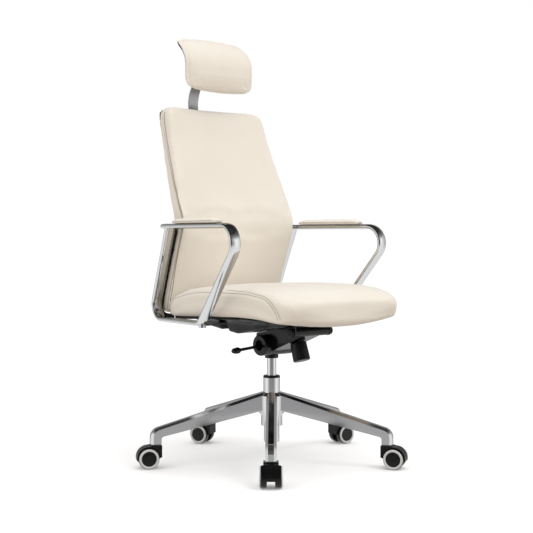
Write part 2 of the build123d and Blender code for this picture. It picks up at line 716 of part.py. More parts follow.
# Seat pan: a black tray, open along the middle for the plate and across it for the outriggers
with BuildPart() as seat_pan:
    with BuildSketch(Plane.XY.offset(PAN_BOTTOM)):
        with Locations((0, PAN_LOW_MIDDLE)):
            RectangleRounded(2 * PAN_LOW_HALF, PAN_LOW_LENGTH, PAN_LOW_ROUND)
    with BuildSketch(Plane.XY.offset(PAN_TOP)):
        with Locations((0, PAN_HIGH_MIDDLE)):
            RectangleRounded(2 * PAN_HIGH_HALF, PAN_HIGH_LENGTH, PAN_HIGH_ROUND)
    loft(ruled=True)
    with BuildSketch(Plane.XY.offset(PAN_BOTTOM)):
        with Locations((0, PAN_LOW_MIDDLE)):
            Rectangle(2 * (PLATE_HALF + GAP), 2 * PAN_HIGH_LENGTH)
    extrude(amount=PLATE_TOP + GAP - PAN_BOTTOM, mode=Mode.SUBTRACT)
    with BuildSketch(Plane.XY.offset(PAN_BOTTOM)):
        with Locations((0, TAB_CENTRE)):
            Rectangle(3 * PAN_HIGH_HALF, TAB_WIDTH + 4 * GAP)
    extrude(amount=PLATE_BOTTOM + 3 * GAP - PAN_BOTTOM, mode=Mode.SUBTRACT)
    with BuildSketch(Plane.XY.offset(PLATE_TOP)):
        with Locations(*SEAT_BOLTS):
            Circle(BOLT_RADIUS + SNUG)
    extrude(amount=PAN_TOP - PLATE_TOP - 2, mode=Mode.SUBTRACT)
save(seat_pan, "seat_pan")


def seat_section(depth, half, bottom, seam, crown):
    """Cross section of the seat cushion: base, drawn-in sides, round shoulders, crowned top."""
    foot = half - SEAT_SIDE_DRAW
    heel = bottom + SEAT_LIP_SLOPE * max(0, SEAT_LIP_START - depth)
    shoulder = half - min(SEAT_SHOULDER, 0.5 * half)
    shoulder_z = seam + SEAT_SHOULDER_RISE * (crown - seam)
    mid_x = shoulder + SEAT_SHOULDER_FULL * (half - shoulder)
    mid_z = seam + SEAT_SHOULDER_FULL * (shoulder_z - seam)
    swell = (foot + half) / 2 + SEAT_SIDE_SWELL
    with BuildSketch(Plane.XZ.offset(-depth)) as section:
        with BuildLine():
            if heel > bottom:
                ThreePointArc((-foot, heel), (0, bottom), (foot, heel))
            else:
                Line((-foot, bottom), (foot, bottom))
            ThreePointArc((foot, heel), (swell, (heel + seam) / 2), (half, seam))
            ThreePointArc((half, seam), (mid_x, mid_z), (shoulder, shoulder_z))
            ThreePointArc((shoulder, shoulder_z), (0, crown), (-shoulder, shoulder_z))
            ThreePointArc((-shoulder, shoulder_z), (-mid_x, mid_z), (-half, seam))
            ThreePointArc((-half, seam), (-swell, (heel + seam) / 2), (-foot, heel))
        make_face()
    return section.sketch


# Seat cushion: crowned top, drawn-in sides and a front edge that rolls over the pan
seat_sections = [seat_section(*row) for row in SEAT_ROWS]
with BuildPart() as seat_cushion:
    loft(sections=seat_sections, ruled=True)
save(seat_cushion, "seat_cushion")


def back_section(height, front_curve, rear_curve, crease):
    """Level section of one layer of the back; a curve is its edge's depth, half width and bow."""
    first, half_first, hollow = front_curve
    second, half_second, bow = rear_curve
    bulge = 0.3 * crease
    with BuildSketch(Plane.XY.offset(height)) as section:
        with BuildLine():
            inner = half_first - crease
            ThreePointArc((-inner, first), (0, first + hollow), (inner, first))
            ThreePointArc(
                (inner, first),
                (half_first - bulge, first + bulge),
                (half_first, first + crease),
            )
            Line((half_first, first + crease), (half_second, second))
            ThreePointArc((half_second, second), (0, second + bow), (-half_second, second))
            Line((-half_second, second), (-half_first, first + crease))
            ThreePointArc(
                (-half_first, first + crease),
                (-half_first + bulge, first + bulge),
                (-inner, first),
            )
        make_face()
    return section.sketch


# Back: front cushion, panel with its side band, and the thin rear shell
front_sections = []
panel_sections = []
shell_sections = []
for height, front, half, cushion, rear in BACK_ROWS:
    seam = front + cushion
    edge = half - 1
    shell_half = half - (SHELL_TOP_INSET if height > SHELL_TOP_START else SHELL_INSET)
    front_curve = (front, half, BACK_FRONT_HOLLOW)
    seam_front = (seam - GAP, edge, BACK_SEAM_BOW)
    seam_rear = (seam + GAP, edge, BACK_SEAM_BOW)
    panel_rear = (rear, edge - BACK_PANEL_DRAW, BACK_REAR_BOW)
    shell_front = (rear + SHELL_GAP, shell_half, BACK_REAR_BOW)
    shell_rear = (rear + BACK_SHELL, shell_half - SHELL_DRAW, BACK_REAR_BOW)
    front_sections.append(back_section(height, front_curve, seam_front, BACK_CREASE))
    panel_sections.append(back_section(height, seam_rear, panel_rear, 4 * GAP))
    shell_sections.append(back_section(height, shell_front, shell_rear, 2 * GAP))

bracket_up = Vector(0, -sin(radians(BACK_LEAN)), cos(radians(BACK_LEAN)))
bracket_out = Vector(0, cos(radians(BACK_LEAN)), sin(radians(BACK_LEAN)))
back_bolt_plane = Plane(origin=BRACKET_MIDDLE, x_dir=(1, 0, 0), z_dir=bracket_out)
BACK_BOLTS = [(side * BRACKET_BOLT_X, rise) for side in (-1, 1) for rise in BACK_BOLT_RISES]


def arm_along(side):
    """Level direction of an arm's plane, from front to rear."""
    return Vector(-side * sin(radians(ARM_TOE)), cos(radians(ARM_TOE)), 0)


def arm_point(side, depth, height):
    """Point in an arm's plane, by its distance along the plane and its height."""
    return Vector(side * ARM_HALF_SPAN, 0, height) + arm_along(side) * depth


def arm_back_bolt_planes(side):
    """Planes on the rear post of an arm, facing out, where its two back bolts sit."""
    planes = []
    for height in ARM_BACK_BOLT_HEIGHTS:
        rise = (height - ARM_BOTTOM) / (ARM_TOP - ARM_BOTTOM)
        depth = ARM_LOW_REAR_CORNER + (ARM_POST_TOP - ARM_LOW_REAR_CORNER) * rise
        centre = arm_point(side, depth, height)
        planes.append(Plane(origin=centre, x_dir=(0, 1, 0), z_dir=(side, 0, 0)))
    return planes


with BuildPart() as back_cushion:
    loft(sections=front_sections, ruled=True)
save(back_cushion, "back_cushion")

with BuildPart() as back_panel:
    loft(sections=panel_sections, ruled=True)
    with BuildSketch(back_bolt_plane):
        with Locations(*BACK_BOLTS):
            Circle(BOLT_RADIUS + SNUG)
    extrude(amount=BACK_BOLT_HOLE, both=True, mode=Mode.SUBTRACT)
    for side in (-1, 1):
        for bolt_plane in arm_back_bolt_planes(side):
            with BuildSketch(bolt_plane):
                Circle(BOLT_RADIUS + SNUG)
            extrude(amount=-ARM_BACK_BOLT_LENGTH - ARM_DEPTH / 2, mode=Mode.SUBTRACT)
save(back_panel, "back_panel")

with BuildPart() as back_shell:
    loft(sections=shell_sections, ruled=True)
    with BuildSketch(back_bolt_plane):
        with Locations(*BACK_BOLTS):
            Circle(BOLT_RADIUS + SNUG)
    extrude(amount=BACK_BOLT_HOLE, both=True, mode=Mode.SUBTRACT)
save(back_shell, "back_shell")

# Back bracket: a bent flat bar from under the seat plate up the rear shell
BRACKET_LEVEL = PLATE_BOTTOM - GAP - BRACKET_THICKNESS / 2
bracket_end = BRACKET_MIDDLE + bracket_up * ((BRACKET_TOP - BRACKET_MIDDLE.Z) / bracket_up.Z)
bracket_corner = BRACKET_MIDDLE + bracket_up * ((BRACKET_LEVEL - BRACKET_MIDDLE.Z) / bracket_up.Z)
with BuildPart() as back_bracket:
    with BuildSketch(SIDE):
        with BuildLine() as bracket_line:
            FilletPolyline(
                (BRACKET_FRONT, BRACKET_LEVEL),
                (bracket_corner.Y, BRACKET_LEVEL),
                (bracket_end.Y, bracket_end.Z),
                radius=BRACKET_BEND,
            )
        trace(line_width=BRACKET_THICKNESS)
    extrude(amount=BRACKET_HALF, both=True)
    with BuildSketch(Plane.XY.offset(BRACKET_LEVEL)):
        with Locations(*BRACKET_BOLTS):
            Circle(BOLT_RADIUS + SNUG)
    extrude(amount=BRACKET_THICKNESS, both=True, mode=Mode.SUBTRACT)
    with BuildSketch(back_bolt_plane):
        with Locations(*BACK_BOLTS):
            Circle(BOLT_RADIUS + SNUG)
    extrude(amount=BRACKET_THICKNESS, both=True, mode=Mode.SUBTRACT)
save(back_bracket, "back_bracket")


# Bolts under the seat: seat plate to pan, bracket to plate, arm tabs to outriggers
SHORT_BOLT = 10
LONG_BOLT = 11
bolt_groups = [
    (SEAT_BOLTS, PLATE_BOTTOM - SNUG, SHORT_BOLT),
    (BRACKET_BOLTS, BRACKET_LEVEL - BRACKET_THICKNESS / 2 - SNUG, SHORT_BOLT),
    (ARM_BOLTS, TAB_BOTTOM - SNUG, LONG_BOLT),
]
with BuildPart() as underseat_bolts:
    for places, seat_level, shank in bolt_groups:
        with BuildSketch(Plane.XY.offset(seat_level - HEAD_HEIGHT)):
            with Locations(*places):
                Circle(HEAD_RADIUS)
        extrude(amount=HEAD_HEIGHT)
        with BuildSketch(Plane.XY.offset(seat_level)):
            with Locations(*places):
                Circle(BOLT_RADIUS)
        extrude(amount=shank)
save(underseat_bolts, "underseat_bolts")

# Bolts of the back: four through the bracket and two with spacers in each arm's rear post
with BuildPart() as back_bolts:
    with BuildSketch(back_bolt_plane.offset(BRACKET_THICKNESS / 2 + SNUG)):
        with Locations(*BACK_BOLTS):
            Circle(HEAD_RADIUS)
    extrude(amount=HEAD_HEIGHT)
    with BuildSketch(back_bolt_plane.offset(BRACKET_THICKNESS / 2 + SNUG)):
        with Locations(*BACK_BOLTS):
            Circle(BOLT_RADIUS)
    extrude(amount=-BACK_BOLT_LENGTH)
    for side in (-1, 1):
        for bolt_plane in arm_back_bolt_planes(side):
            bolt_start = -ARM_DEPTH / 2 + ARM_BOLT_BITE - GAP
            spacer_start = -ARM_DEPTH / 2 - 2 * GAP
            with BuildSketch(bolt_plane.offset(bolt_start)):
                Circle(BOLT_RADIUS)
            extrude(amount=-ARM_BACK_BOLT_LENGTH)
            with BuildSketch(bolt_plane.offset(spacer_start)):
                Circle(SPACER_RADIUS)
            extrude(amount=SPACER_END - abs(bolt_plane.origin.X) - spacer_start)
save(back_bolts, "back_bolts")


def arm_section(place, width, height):
    """Oval section of an arm tube: two crowned faces, joined smoothly by two round ends."""
    half = width / 2
    rise = height / 2
    end_round = (2 * ARM_CROWN * rise - half**2 - rise**2) / (2 * (ARM_CROWN - half))
    reach = ARM_CROWN / (ARM_CROWN - end_round)
    meet_x = reach * (half - end_round)
    meet_y = rise - ARM_CROWN + reach * (ARM_CROWN - rise)
    with BuildSketch(place) as section:
        with BuildLine():
            ThreePointArc((-meet_x, meet_y), (0, rise), (meet_x, meet_y))
            ThreePointArc((meet_x, meet_y), (half, 0), (meet_x, -meet_y))
            ThreePointArc((meet_x, -meet_y), (0, -rise), (-meet_x, -meet_y))
            ThreePointArc((-meet_x, -meet_y), (-half, 0), (-meet_x, meet_y))
        make_face()
    return section.sketch


def make_arm(side, name):
    """One arm: a swept oval loop with its inward tab, and the leather pad on its top bar."""
    along = arm_along(side)
    plane = upright((side * ARM_HALF_SPAN, 0, 0), along)
    with BuildPart() as arm_loop:
        with BuildLine(plane) as loop_path:
            FilletPolyline(
                (ARM_TIP, ARM_TOP),
                (ARM_FRONT_CORNER, ARM_TOP),
                (ARM_LOW_FRONT_CORNER, ARM_BOTTOM),
                (ARM_LOW_REAR_CORNER, ARM_BOTTOM),
                (ARM_POST_TOP + POST_STOP * POST_RUN, ARM_TOP - POST_STOP),
                radius=ARM_BENDS,
            )
        path = loop_path.wires()[0]
        start_plane = Plane(origin=path @ 0, x_dir=plane.z_dir, z_dir=path % 0)
        sweep(sections=arm_section(start_plane, ARM_DEPTH, ARM_THICKNESS), path=path)
        end_plane = Plane(origin=path @ 1, x_dir=plane.z_dir, z_dir=path % 1)
        extrude(arm_section(end_plane, ARM_DEPTH - GAP, ARM_THICKNESS - GAP), amount=POST_STOP)
        with BuildSketch(Plane.XY.offset(TAB_BOTTOM)):
            with Locations((side * (ARM_HALF_SPAN - TAB_REACH / 2), TAB_CENTRE)):
                Rectangle(TAB_REACH, TAB_WIDTH)
        extrude(amount=TAB_TOP - TAB_BOTTOM)
        with BuildSketch(Plane.XY.offset(TAB_BOSS_BOTTOM)):
            with Locations((side * ARM_HALF_SPAN, TAB_CENTRE)):
                Circle(TAB_BOSS_RADIUS)
        extrude(amount=ARM_BOTTOM - TAB_BOSS_BOTTOM)
        with BuildSketch(Plane.XY.offset(TAB_BOTTOM)):
            with Locations((side * ARM_BOLT_X, TAB_CENTRE)):
                Circle(BOLT_RADIUS + SNUG)
        extrude(amount=TAB_TOP - TAB_BOTTOM, mode=Mode.SUBTRACT)
        for bolt_plane in arm_back_bolt_planes(side):
            with BuildSketch(bolt_plane.offset(-ARM_DEPTH / 2 - 4 * GAP)):
                Circle(BOLT_RADIUS + SNUG)
            extrude(amount=ARM_BOLT_BITE + 4 * GAP, mode=Mode.SUBTRACT)
    save(arm_loop, f"arm_loop_{name}")

    pad_base = ARM_TOP + ARM_THICKNESS / 2 + GAP
    sections = []
    for share, width_share, height_share in PAD_ROWS:
        middle = arm_point(side, PAD_FRONT + share * (PAD_REAR - PAD_FRONT), pad_base)
        half = PAD_HALF * width_share
        foot = half - 4 * GAP
        brow = half - 2 * GAP
        top = PAD_HEIGHT * height_share
        edge = PAD_EDGE * top
        with BuildSketch(Plane(origin=middle, x_dir=-plane.z_dir, z_dir=along)) as section:
            with BuildLine():
                Line((-foot, 0), (foot, 0))
                ThreePointArc((foot, 0), (half, edge / 2), (brow, edge))
                ThreePointArc((brow, edge), (0, top), (-brow, edge))
                ThreePointArc((-brow, edge), (-half, edge / 2), (-foot, 0))
            make_face()
        sections.append(section.sketch)
    with BuildPart() as arm_pad:
        loft(sections=sections, ruled=True)
    save(arm_pad, f"arm_pad_{name}")


make_arm(-1, "right")
make_arm(1, "left")

# Headrest strap: a flat strip that slides in the guide, bends forwards and ends in a hinge knuckle
strap_foot = STRAP_CORNER[0] - (STRAP_CORNER[1] - STRAP_BOTTOM_Z) * STRAP_SLOPE
strap_lean = degrees(atan(STRAP_SLOPE))
with BuildPart() as headrest_strap:
    with BuildSketch(SIDE):
        with BuildLine():
            FilletPolyline((strap_foot, STRAP_BOTTOM_Z), STRAP_CORNER, HINGE, radius=STRAP_BEND)
        trace(line_width=STRAP_THICKNESS)
    extrude(amount=STRAP_WIDTH / 2, both=True)
    with BuildSketch(SIDE):
        with Locations(HINGE):
            Circle(2 * HINGE_RADIUS)
    extrude(amount=STRAP_WIDTH / 2, both=True)
    with BuildSketch(SIDE):
        with Locations(HINGE):
            Circle(HINGE_RADIUS + SNUG)
    extrude(amount=STRAP_WIDTH, both=True, mode=Mode.SUBTRACT)
save(headrest_strap, "headrest_strap")

LUG_INNER = STRAP_WIDTH / 2 + GAP
LUG_OUTER = LUG_INNER + LUG_THICKNESS
with BuildPart() as headrest_hinge_pin:
    with BuildSketch(SIDE):
        with Locations(HINGE):
            Circle(HINGE_RADIUS)
    extrude(amount=LUG_OUTER + 2 * GAP, both=True)
save(headrest_hinge_pin, "headrest_hinge_pin")

# Headrest guide: a sleeve on the rear shell that the strap slides through
guide_middle = (GUIDE_LOW + GUIDE_HIGH) / 2
guide_depth = STRAP_CORNER[0] - (STRAP_CORNER[1] - guide_middle) * STRAP_SLOPE
slide_axis = Vector(0, sin(radians(strap_lean)), cos(radians(strap_lean)))
guide_plane = Plane(origin=(0, guide_depth, guide_middle), x_dir=(1, 0, 0), z_dir=slide_axis)
GUIDE_HALF_LENGTH = (GUIDE_HIGH - GUIDE_LOW) / 2 / slide_axis.Z
GUIDE_REAR = STRAP_THICKNESS / 2 + GUIDE_WALL
with BuildPart() as headrest_guide:
    with BuildSketch(guide_plane):
        with Locations((0, -(GUIDE_FRONT + GUIDE_REAR) / 2)):
            RectangleRounded(STRAP_WIDTH + 2 * GUIDE_FLANK, GUIDE_REAR - GUIDE_FRONT, GUIDE_ROUND)
        Rectangle(STRAP_WIDTH + GUIDE_PLAY, STRAP_THICKNESS + GUIDE_PLAY, mode=Mode.SUBTRACT)
    extrude(amount=GUIDE_HALF_LENGTH, both=True)
save(headrest_guide, "headrest_guide")


def head_front(height):
    """Depth of the headrest's front: upright below, leaning back above the bend."""
    return HEAD_FRONT + HEAD_LEAN * max(0, height - HEAD_BEND_Z) ** 2


def head_section(side, bottom, top, swell, start, depth, edge):
    """Upright section of one layer of the headrest, between two S-shaped curves."""
    edge = min(edge, (depth + swell) / 2)
    low = bottom + edge
    high = top - edge
    middle = (HEAD_BEND_Z + high) / 2
    front = start - swell
    with BuildSketch(Plane.YZ.offset(side)) as section:
        with BuildLine():
            front_low = (HEAD_FRONT + front, low)
            front_bend = (HEAD_FRONT + front, HEAD_BEND_Z)
            front_high = (head_front(high) + front, high)
            rear_low = (HEAD_FRONT + start + depth, low)
            rear_bend = (HEAD_FRONT + start + depth, HEAD_BEND_Z)
            rear_high = (head_front(high) + start + depth, high)
            round_low = ((front_low[0] + rear_low[0]) / 2, bottom)
            round_high = ((front_high[0] + rear_high[0]) / 2 + 0.25 * edge, high + edge)
            front_belly = (HEAD_FRONT + front - 0.12 * max(0, swell), (low + HEAD_BEND_Z) / 2)
            ThreePointArc(rear_low, round_low, front_low)
            if swell > 0:
                ThreePointArc(front_low, front_belly, front_bend)
            else:
                Line(front_low, front_bend)
            ThreePointArc(front_bend, (head_front(middle) + front, middle), front_high)
            ThreePointArc(front_high, round_high, rear_high)
            ThreePointArc(rear_high, (head_front(middle) + start + depth, middle), rear_bend)
            Line(rear_bend, rear_low)
        make_face()
    return section.sketch


mirrored_rows = [(-x, low, high, swell) for x, low, high, swell in HEAD_ROWS[:-1]]
head_rows = HEAD_ROWS[:-1] + [HEAD_ROWS[-1]] + mirrored_rows[::-1]
with BuildPart() as headrest_cushion:
    loft(sections=[head_section(*row, 0, HEAD_DEPTH, HEAD_EDGE) for row in head_rows], ruled=True)
save(headrest_cushion, "headrest_cushion")

# Headrest plate: the thin rear shell of the headrest, with two lugs for the hinge pin
shell_start = HEAD_DEPTH + HEAD_SHELL_GAP
shell_rows = [
    (HEAD_SHELL_SHARE * x, low + HEAD_SHELL_RISE, high - HEAD_SHELL_DROP, 0)
    for x, low, high, swell in head_rows
]
lug_root = HEAD_FRONT + shell_start + HEAD_SHELL / 2
with BuildPart() as headrest_plate:
    shells = [head_section(*row, shell_start, HEAD_SHELL, HEAD_SHELL_EDGE) for row in shell_rows]
    loft(sections=shells, ruled=True)
    for start in (LUG_INNER, -LUG_OUTER):
        with BuildSketch(SIDE.offset(start)):
            with BuildLine():
                Polyline(
                    (lug_root, HINGE[1] + LUG_ROOT_LOW),
                    (HINGE[0], HINGE[1] - 2 * HINGE_RADIUS),
                    (HINGE[0], HINGE[1] + 2 * HINGE_RADIUS),
                    (lug_root, HINGE[1] + LUG_ROOT_HIGH),
                    close=True,
                )
            make_face()
            with Locations(HINGE):
                Circle(2 * HINGE_RADIUS)
        extrude(amount=LUG_OUTER - LUG_INNER)
    with BuildSketch(SIDE):
        with Locations(HINGE):
            Circle(HINGE_RADIUS + RUNNING)
    extrude(amount=LUG_OUTER + GAP, both=True, mode=Mode.SUBTRACT)
save(headrest_plate, "headrest_plate")


def make_caster(name, leg_azimuth, wheel_heading):
    """One twin-wheel caster: hood, stem, axle and two wheels, trailing along its heading."""
    foot = heading(leg_azimuth) * STEM_CIRCLE
    trail = heading(leg_azimuth + wheel_heading)
    axle_direction = trail.cross(UP)
    side_plane = upright(foot, trail)
    hub = (CASTER_TRAIL, WHEEL_RADIUS)
    axle_centre = foot + trail * CASTER_TRAIL + UP * WHEEL_RADIUS

    def hood_rim(angle):
        """Point of the hood's round crown at an angle above the axle's level."""
        turn = radians(angle)
        return (hub[0] + HOOD_RADIUS * cos(turn), hub[1] + HOOD_RADIUS * sin(turn))

    mouth = hood_rim(HOOD_MOUTH_ANGLE)
    with BuildPart() as hood:
        with BuildSketch(side_plane):
            with BuildLine():
                Polyline(
                    (HOOD_REAR, HOOD_REAR_BOTTOM),
                    (HOOD_REAR, HOOD_TOP),
                    (HOOD_CROWN_START, HOOD_TOP),
                    hood_rim(90),
                )
                ThreePointArc(hood_rim(90), hood_rim(40), mouth)
                Polyline(
                    mouth,
                    (hub[0] + HOOD_FOOT_REACH, mouth[1]),
                    (hub[0] + HOOD_FOOT_HALF, HOOD_FOOT),
                    (hub[0] - HOOD_FOOT_HALF, HOOD_FOOT),
                    (HOOD_REAR, HOOD_REAR_BOTTOM),
                )
            make_face()
        extrude(amount=HOOD_WIDTH / 2, both=True)
        for turn in (1, -1):
            with BuildSketch(side_plane.offset(turn * WEB_WIDTH / 2)):
                with Locations(hub):
                    Circle(WHEEL_RADIUS + WHEEL_ROOM)
            extrude(amount=turn * HOOD_WIDTH / 2, mode=Mode.SUBTRACT)
        with BuildSketch(side_plane):
            with Locations(hub):
                Circle(AXLE_RADIUS + SNUG)
        extrude(amount=HOOD_WIDTH, both=True, mode=Mode.SUBTRACT)
        with BuildSketch(Plane(origin=foot + UP * HOOD_TOP, x_dir=trail, z_dir=UP)):
            Circle(STEM_RADIUS + SNUG)
        extrude(amount=-STEM_DEPTH - 2 * GAP, mode=Mode.SUBTRACT)
    save(hood, f"caster_{name}_hood")

    with BuildPart() as stem:
        with BuildSketch(Plane(origin=foot + UP * (HOOD_TOP - STEM_DEPTH), x_dir=trail, z_dir=UP)):
            Circle(STEM_RADIUS)
        extrude(amount=STEM_LENGTH)
    save(stem, f"caster_{name}_stem")

    with BuildPart() as axle:
        with BuildSketch(side_plane):
            with Locations(hub):
                Circle(AXLE_RADIUS)
        extrude(amount=AXLE_HALF, both=True)
    save(axle, f"caster_{name}_axle")

    for wheel_side, turn in (("left", 1), ("right", -1)):
        with BuildPart() as wheel:
            with BuildSketch(Plane(origin=axle_centre, x_dir=trail, z_dir=-UP * turn)):
                with BuildLine():
                    Polyline(
                        (AXLE_RADIUS + RUNNING, WHEEL_INNER),
                        (WHEEL_RADIUS - TREAD_BEVEL, WHEEL_INNER),
                        (WHEEL_RADIUS, WHEEL_INNER + TREAD_BEVEL),
                        (WHEEL_RADIUS, WHEEL_OUTER - RIM_START),
                    )
                    ThreePointArc(
                        (WHEEL_RADIUS, WHEEL_OUTER - RIM_START),
                        (WHEEL_RADIUS - RIM_DEPTH / 3, WHEEL_OUTER - RIM_START / 2),
                        (WHEEL_RADIUS - RIM_DEPTH, WHEEL_OUTER - GAP),
                    )
                    Polyline(
                        (WHEEL_RADIUS - RIM_DEPTH, WHEEL_OUTER - GAP),
                        (WHEEL_RADIUS - RIM_DEPTH - RING_WIDTH, WHEEL_OUTER),
                        (WHEEL_RADIUS - RIM_DEPTH - RING_WIDTH - 1, WHEEL_OUTER - RING_STEP),
                        (DISC_RADIUS, WHEEL_OUTER - DISC_DROP),
                        (0, WHEEL_OUTER - HUB_DROP),
                        (0, WHEEL_BORE_END),
                        (AXLE_RADIUS + RUNNING, WHEEL_BORE_END),
                        (AXLE_RADIUS + RUNNING, WHEEL_INNER),
                    )
                make_face()
            revolve(axis=Axis(origin=axle_centre, direction=axle_direction))
        save(wheel, f"caster_{name}_wheel_{wheel_side}")


for number, caster_name in enumerate(CASTER_NAMES):
    make_caster(caster_name, FRONT_LEG_AZIMUTH - number * 360 / LEG_COUNT, CASTER_HEADINGS[number])
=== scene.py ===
# %% [markdown]
# # Dressing a swivel office chair
#
# The frame holds the chair's real pieces at their real size: base, lift, tilt mechanism, arms, and
# plain solids where the cushions go. This lesson dresses it. Every surface gets a finish, the
# plain solids become stuffed leather, and seams, stitches and wheel trims are added. No piece of
# the frame is moved.

# %% Load the frame
import json
import math

import bmesh
import bpy
import numpy as np
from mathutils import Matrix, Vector
from mathutils.bvhtree import BVHTree
from mathutils.kdtree import KDTree


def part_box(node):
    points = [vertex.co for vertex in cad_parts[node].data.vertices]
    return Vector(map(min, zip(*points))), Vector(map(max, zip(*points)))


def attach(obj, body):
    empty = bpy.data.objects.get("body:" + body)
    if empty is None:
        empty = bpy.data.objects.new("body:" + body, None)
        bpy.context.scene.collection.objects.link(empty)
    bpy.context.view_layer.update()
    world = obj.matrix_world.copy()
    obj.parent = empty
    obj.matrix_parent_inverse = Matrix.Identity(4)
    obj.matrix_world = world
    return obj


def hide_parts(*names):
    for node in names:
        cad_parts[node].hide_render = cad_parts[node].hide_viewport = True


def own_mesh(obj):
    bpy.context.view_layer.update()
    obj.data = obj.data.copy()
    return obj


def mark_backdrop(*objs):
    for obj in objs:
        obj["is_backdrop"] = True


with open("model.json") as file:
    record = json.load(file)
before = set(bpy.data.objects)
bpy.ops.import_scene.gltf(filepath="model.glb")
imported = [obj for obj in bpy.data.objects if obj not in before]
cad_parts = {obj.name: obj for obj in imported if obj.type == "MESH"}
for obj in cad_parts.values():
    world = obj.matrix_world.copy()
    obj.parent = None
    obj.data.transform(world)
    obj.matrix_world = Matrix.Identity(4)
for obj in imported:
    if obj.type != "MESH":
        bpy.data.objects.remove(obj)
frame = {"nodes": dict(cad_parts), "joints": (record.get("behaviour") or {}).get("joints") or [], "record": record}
nodes = frame["nodes"]
scene = bpy.context.scene
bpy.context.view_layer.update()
MM = 0.001

# %% [markdown]
# ## The camera
#
# The picture was taken from the chair's front right, at about the height of the arms, through a
# lens long enough to keep upright lines upright. A camera can be set by eye, but here its place
# was worked out from the base and the lift, whose sizes are known, so it is written down as
# numbers.

# %% Camera
CAMERA_PLACE = (-2.1827, -2.5375, 0.6633)
CAMERA_TURN = math.radians(40.44)
CAMERA_DIP = math.radians(1.52)
LENS_MM = 76.67
SENSOR_MM = 36.0

camera = bpy.data.objects.new("studio_camera", bpy.data.cameras.new("studio_camera"))
camera.data.lens = LENS_MM
camera.data.sensor_width = SENSOR_MM
camera.location = CAMERA_PLACE
camera.rotation_euler = (math.pi / 2 - CAMERA_DIP, 0.0, -CAMERA_TURN)
scene.collection.objects.link(camera)
scene.camera = camera
print("camera at", CAMERA_PLACE, "with a lens of", LENS_MM, "mm")

# %% [markdown]
# ## Floor, world and lamps
#
# The studio is white all round, with a soft grey shadow under the base. A brighter lamp would
# bleach the leather, so the white comes from what the camera sees: the world is white for camera
# rays, and the floor adds a little glow of its own for them. Bright metal needs something dark to
# mirror, so for mirror rays the world has dark walls behind the photographer, at the far end and
# overhead, as in a real studio, and below it a floor of its own. The real floor is left out of
# mirrors, because it would only show its glow. Two softboxes light the chair, and a narrow lamp
# lifts the shade on the back below the arms.

# %% Small helpers for node trees
def feed(tree, socket, value):
    """Links a socket to another node's output, or sets it where the value is a plain one."""
    if isinstance(value, bpy.types.NodeSocket):
        tree.links.new(value, socket)
    else:
        socket.default_value = value


def add_node(tree, kind, inputs=(), **settings):
    """A new node with its properties set, and its inputs fed from a dictionary."""
    node = tree.nodes.new(kind)
    for name, value in settings.items():
        setattr(node, name, value)
    for name, value in dict(inputs).items():
        feed(tree, node.inputs[name], value)
    return node


def mix_colours(tree, factor, low, high, blend="MIX"):
    """The colour that a Mix node makes of two."""
    ends = {"Factor": factor, 6: low, 7: high}
    return add_node(tree, "ShaderNodeMix", ends, data_type="RGBA", blend_type=blend).outputs[2]


def grey(level):
    """A neutral colour of that brightness."""
    return (level, level, level, 1.0)


print("node helpers ready")

# %% World
SKY_STOPS = ((0.0, (0.48, 0.44, 0.40)), (0.5, (0.67, 0.645, 0.615)), (1.0, (1.0, 1.0, 1.0)))
SKY_LEVEL = 1.21
UPWARD = (0.0, 0.0, 1.0)
DARK_WALL = (-0.65, -0.76, 0.0)
WALL_STOPS = (
    (0.0, 0.36), (0.05, 0.28), (0.16, 0.36), (0.42, 0.62),
    (0.62, 0.95), (0.76, 0.86), (0.88, 0.30), (0.95, 0.09),
)
ROOF_STOPS = ((0.0, 1.0), (0.66, 1.0), (0.76, 0.3), (0.88, 0.04))
GROUND_STOPS = ((0.0, 0.9), (0.34, 0.82), (0.475, 0.0))
GROUND_TONE = 0.80


def turned_ramp(tree, vector, direction, stops):
    """A brightness for each direction, by how far it turns from away (0) to towards (1) a side."""
    facing = add_node(tree, "ShaderNodeVectorMath", {0: vector, 1: direction}, operation="DOT_PRODUCT")
    share = add_node(tree, "ShaderNodeMapRange", {"Value": facing.outputs["Value"], "From Min": -1.0})
    ramp = add_node(tree, "ShaderNodeValToRGB", {"Fac": share.outputs["Result"]})
    while len(ramp.color_ramp.elements) < len(stops):
        ramp.color_ramp.elements.new(0.5)
    for stop, (place, level) in zip(ramp.color_ramp.elements, stops):
        stop.position = place
        stop.color = (*level, 1.0) if isinstance(level, tuple) else grey(level)
    return ramp.outputs["Color"]


def make_mirror_room():
    """What mirrors see: a pale room, dark at both ends and overhead, over a white floor."""
    tree = bpy.data.node_groups.new("mirror_room", "ShaderNodeTree")
    tree.interface.new_socket("Vector", in_out="INPUT", socket_type="NodeSocketVector")
    tree.interface.new_socket("Color", in_out="OUTPUT", socket_type="NodeSocketColor")
    vector = add_node(tree, "NodeGroupInput").outputs["Vector"]
    walls = turned_ramp(tree, vector, DARK_WALL, WALL_STOPS)
    roof = turned_ramp(tree, vector, UPWARD, ROOF_STOPS)
    ground = turned_ramp(tree, vector, UPWARD, GROUND_STOPS)
    room = mix_colours(tree, 1.0, walls, roof, "MULTIPLY")
    add_node(tree, "NodeGroupOutput", {"Color": mix_colours(tree, ground, room, grey(GROUND_TONE))})
    return tree


def backdrop(tree, colour, level):
    """One of the world's faces: a colour at a level."""
    return add_node(tree, "ShaderNodeBackground", {"Color": colour, "Strength": level}).outputs[0]


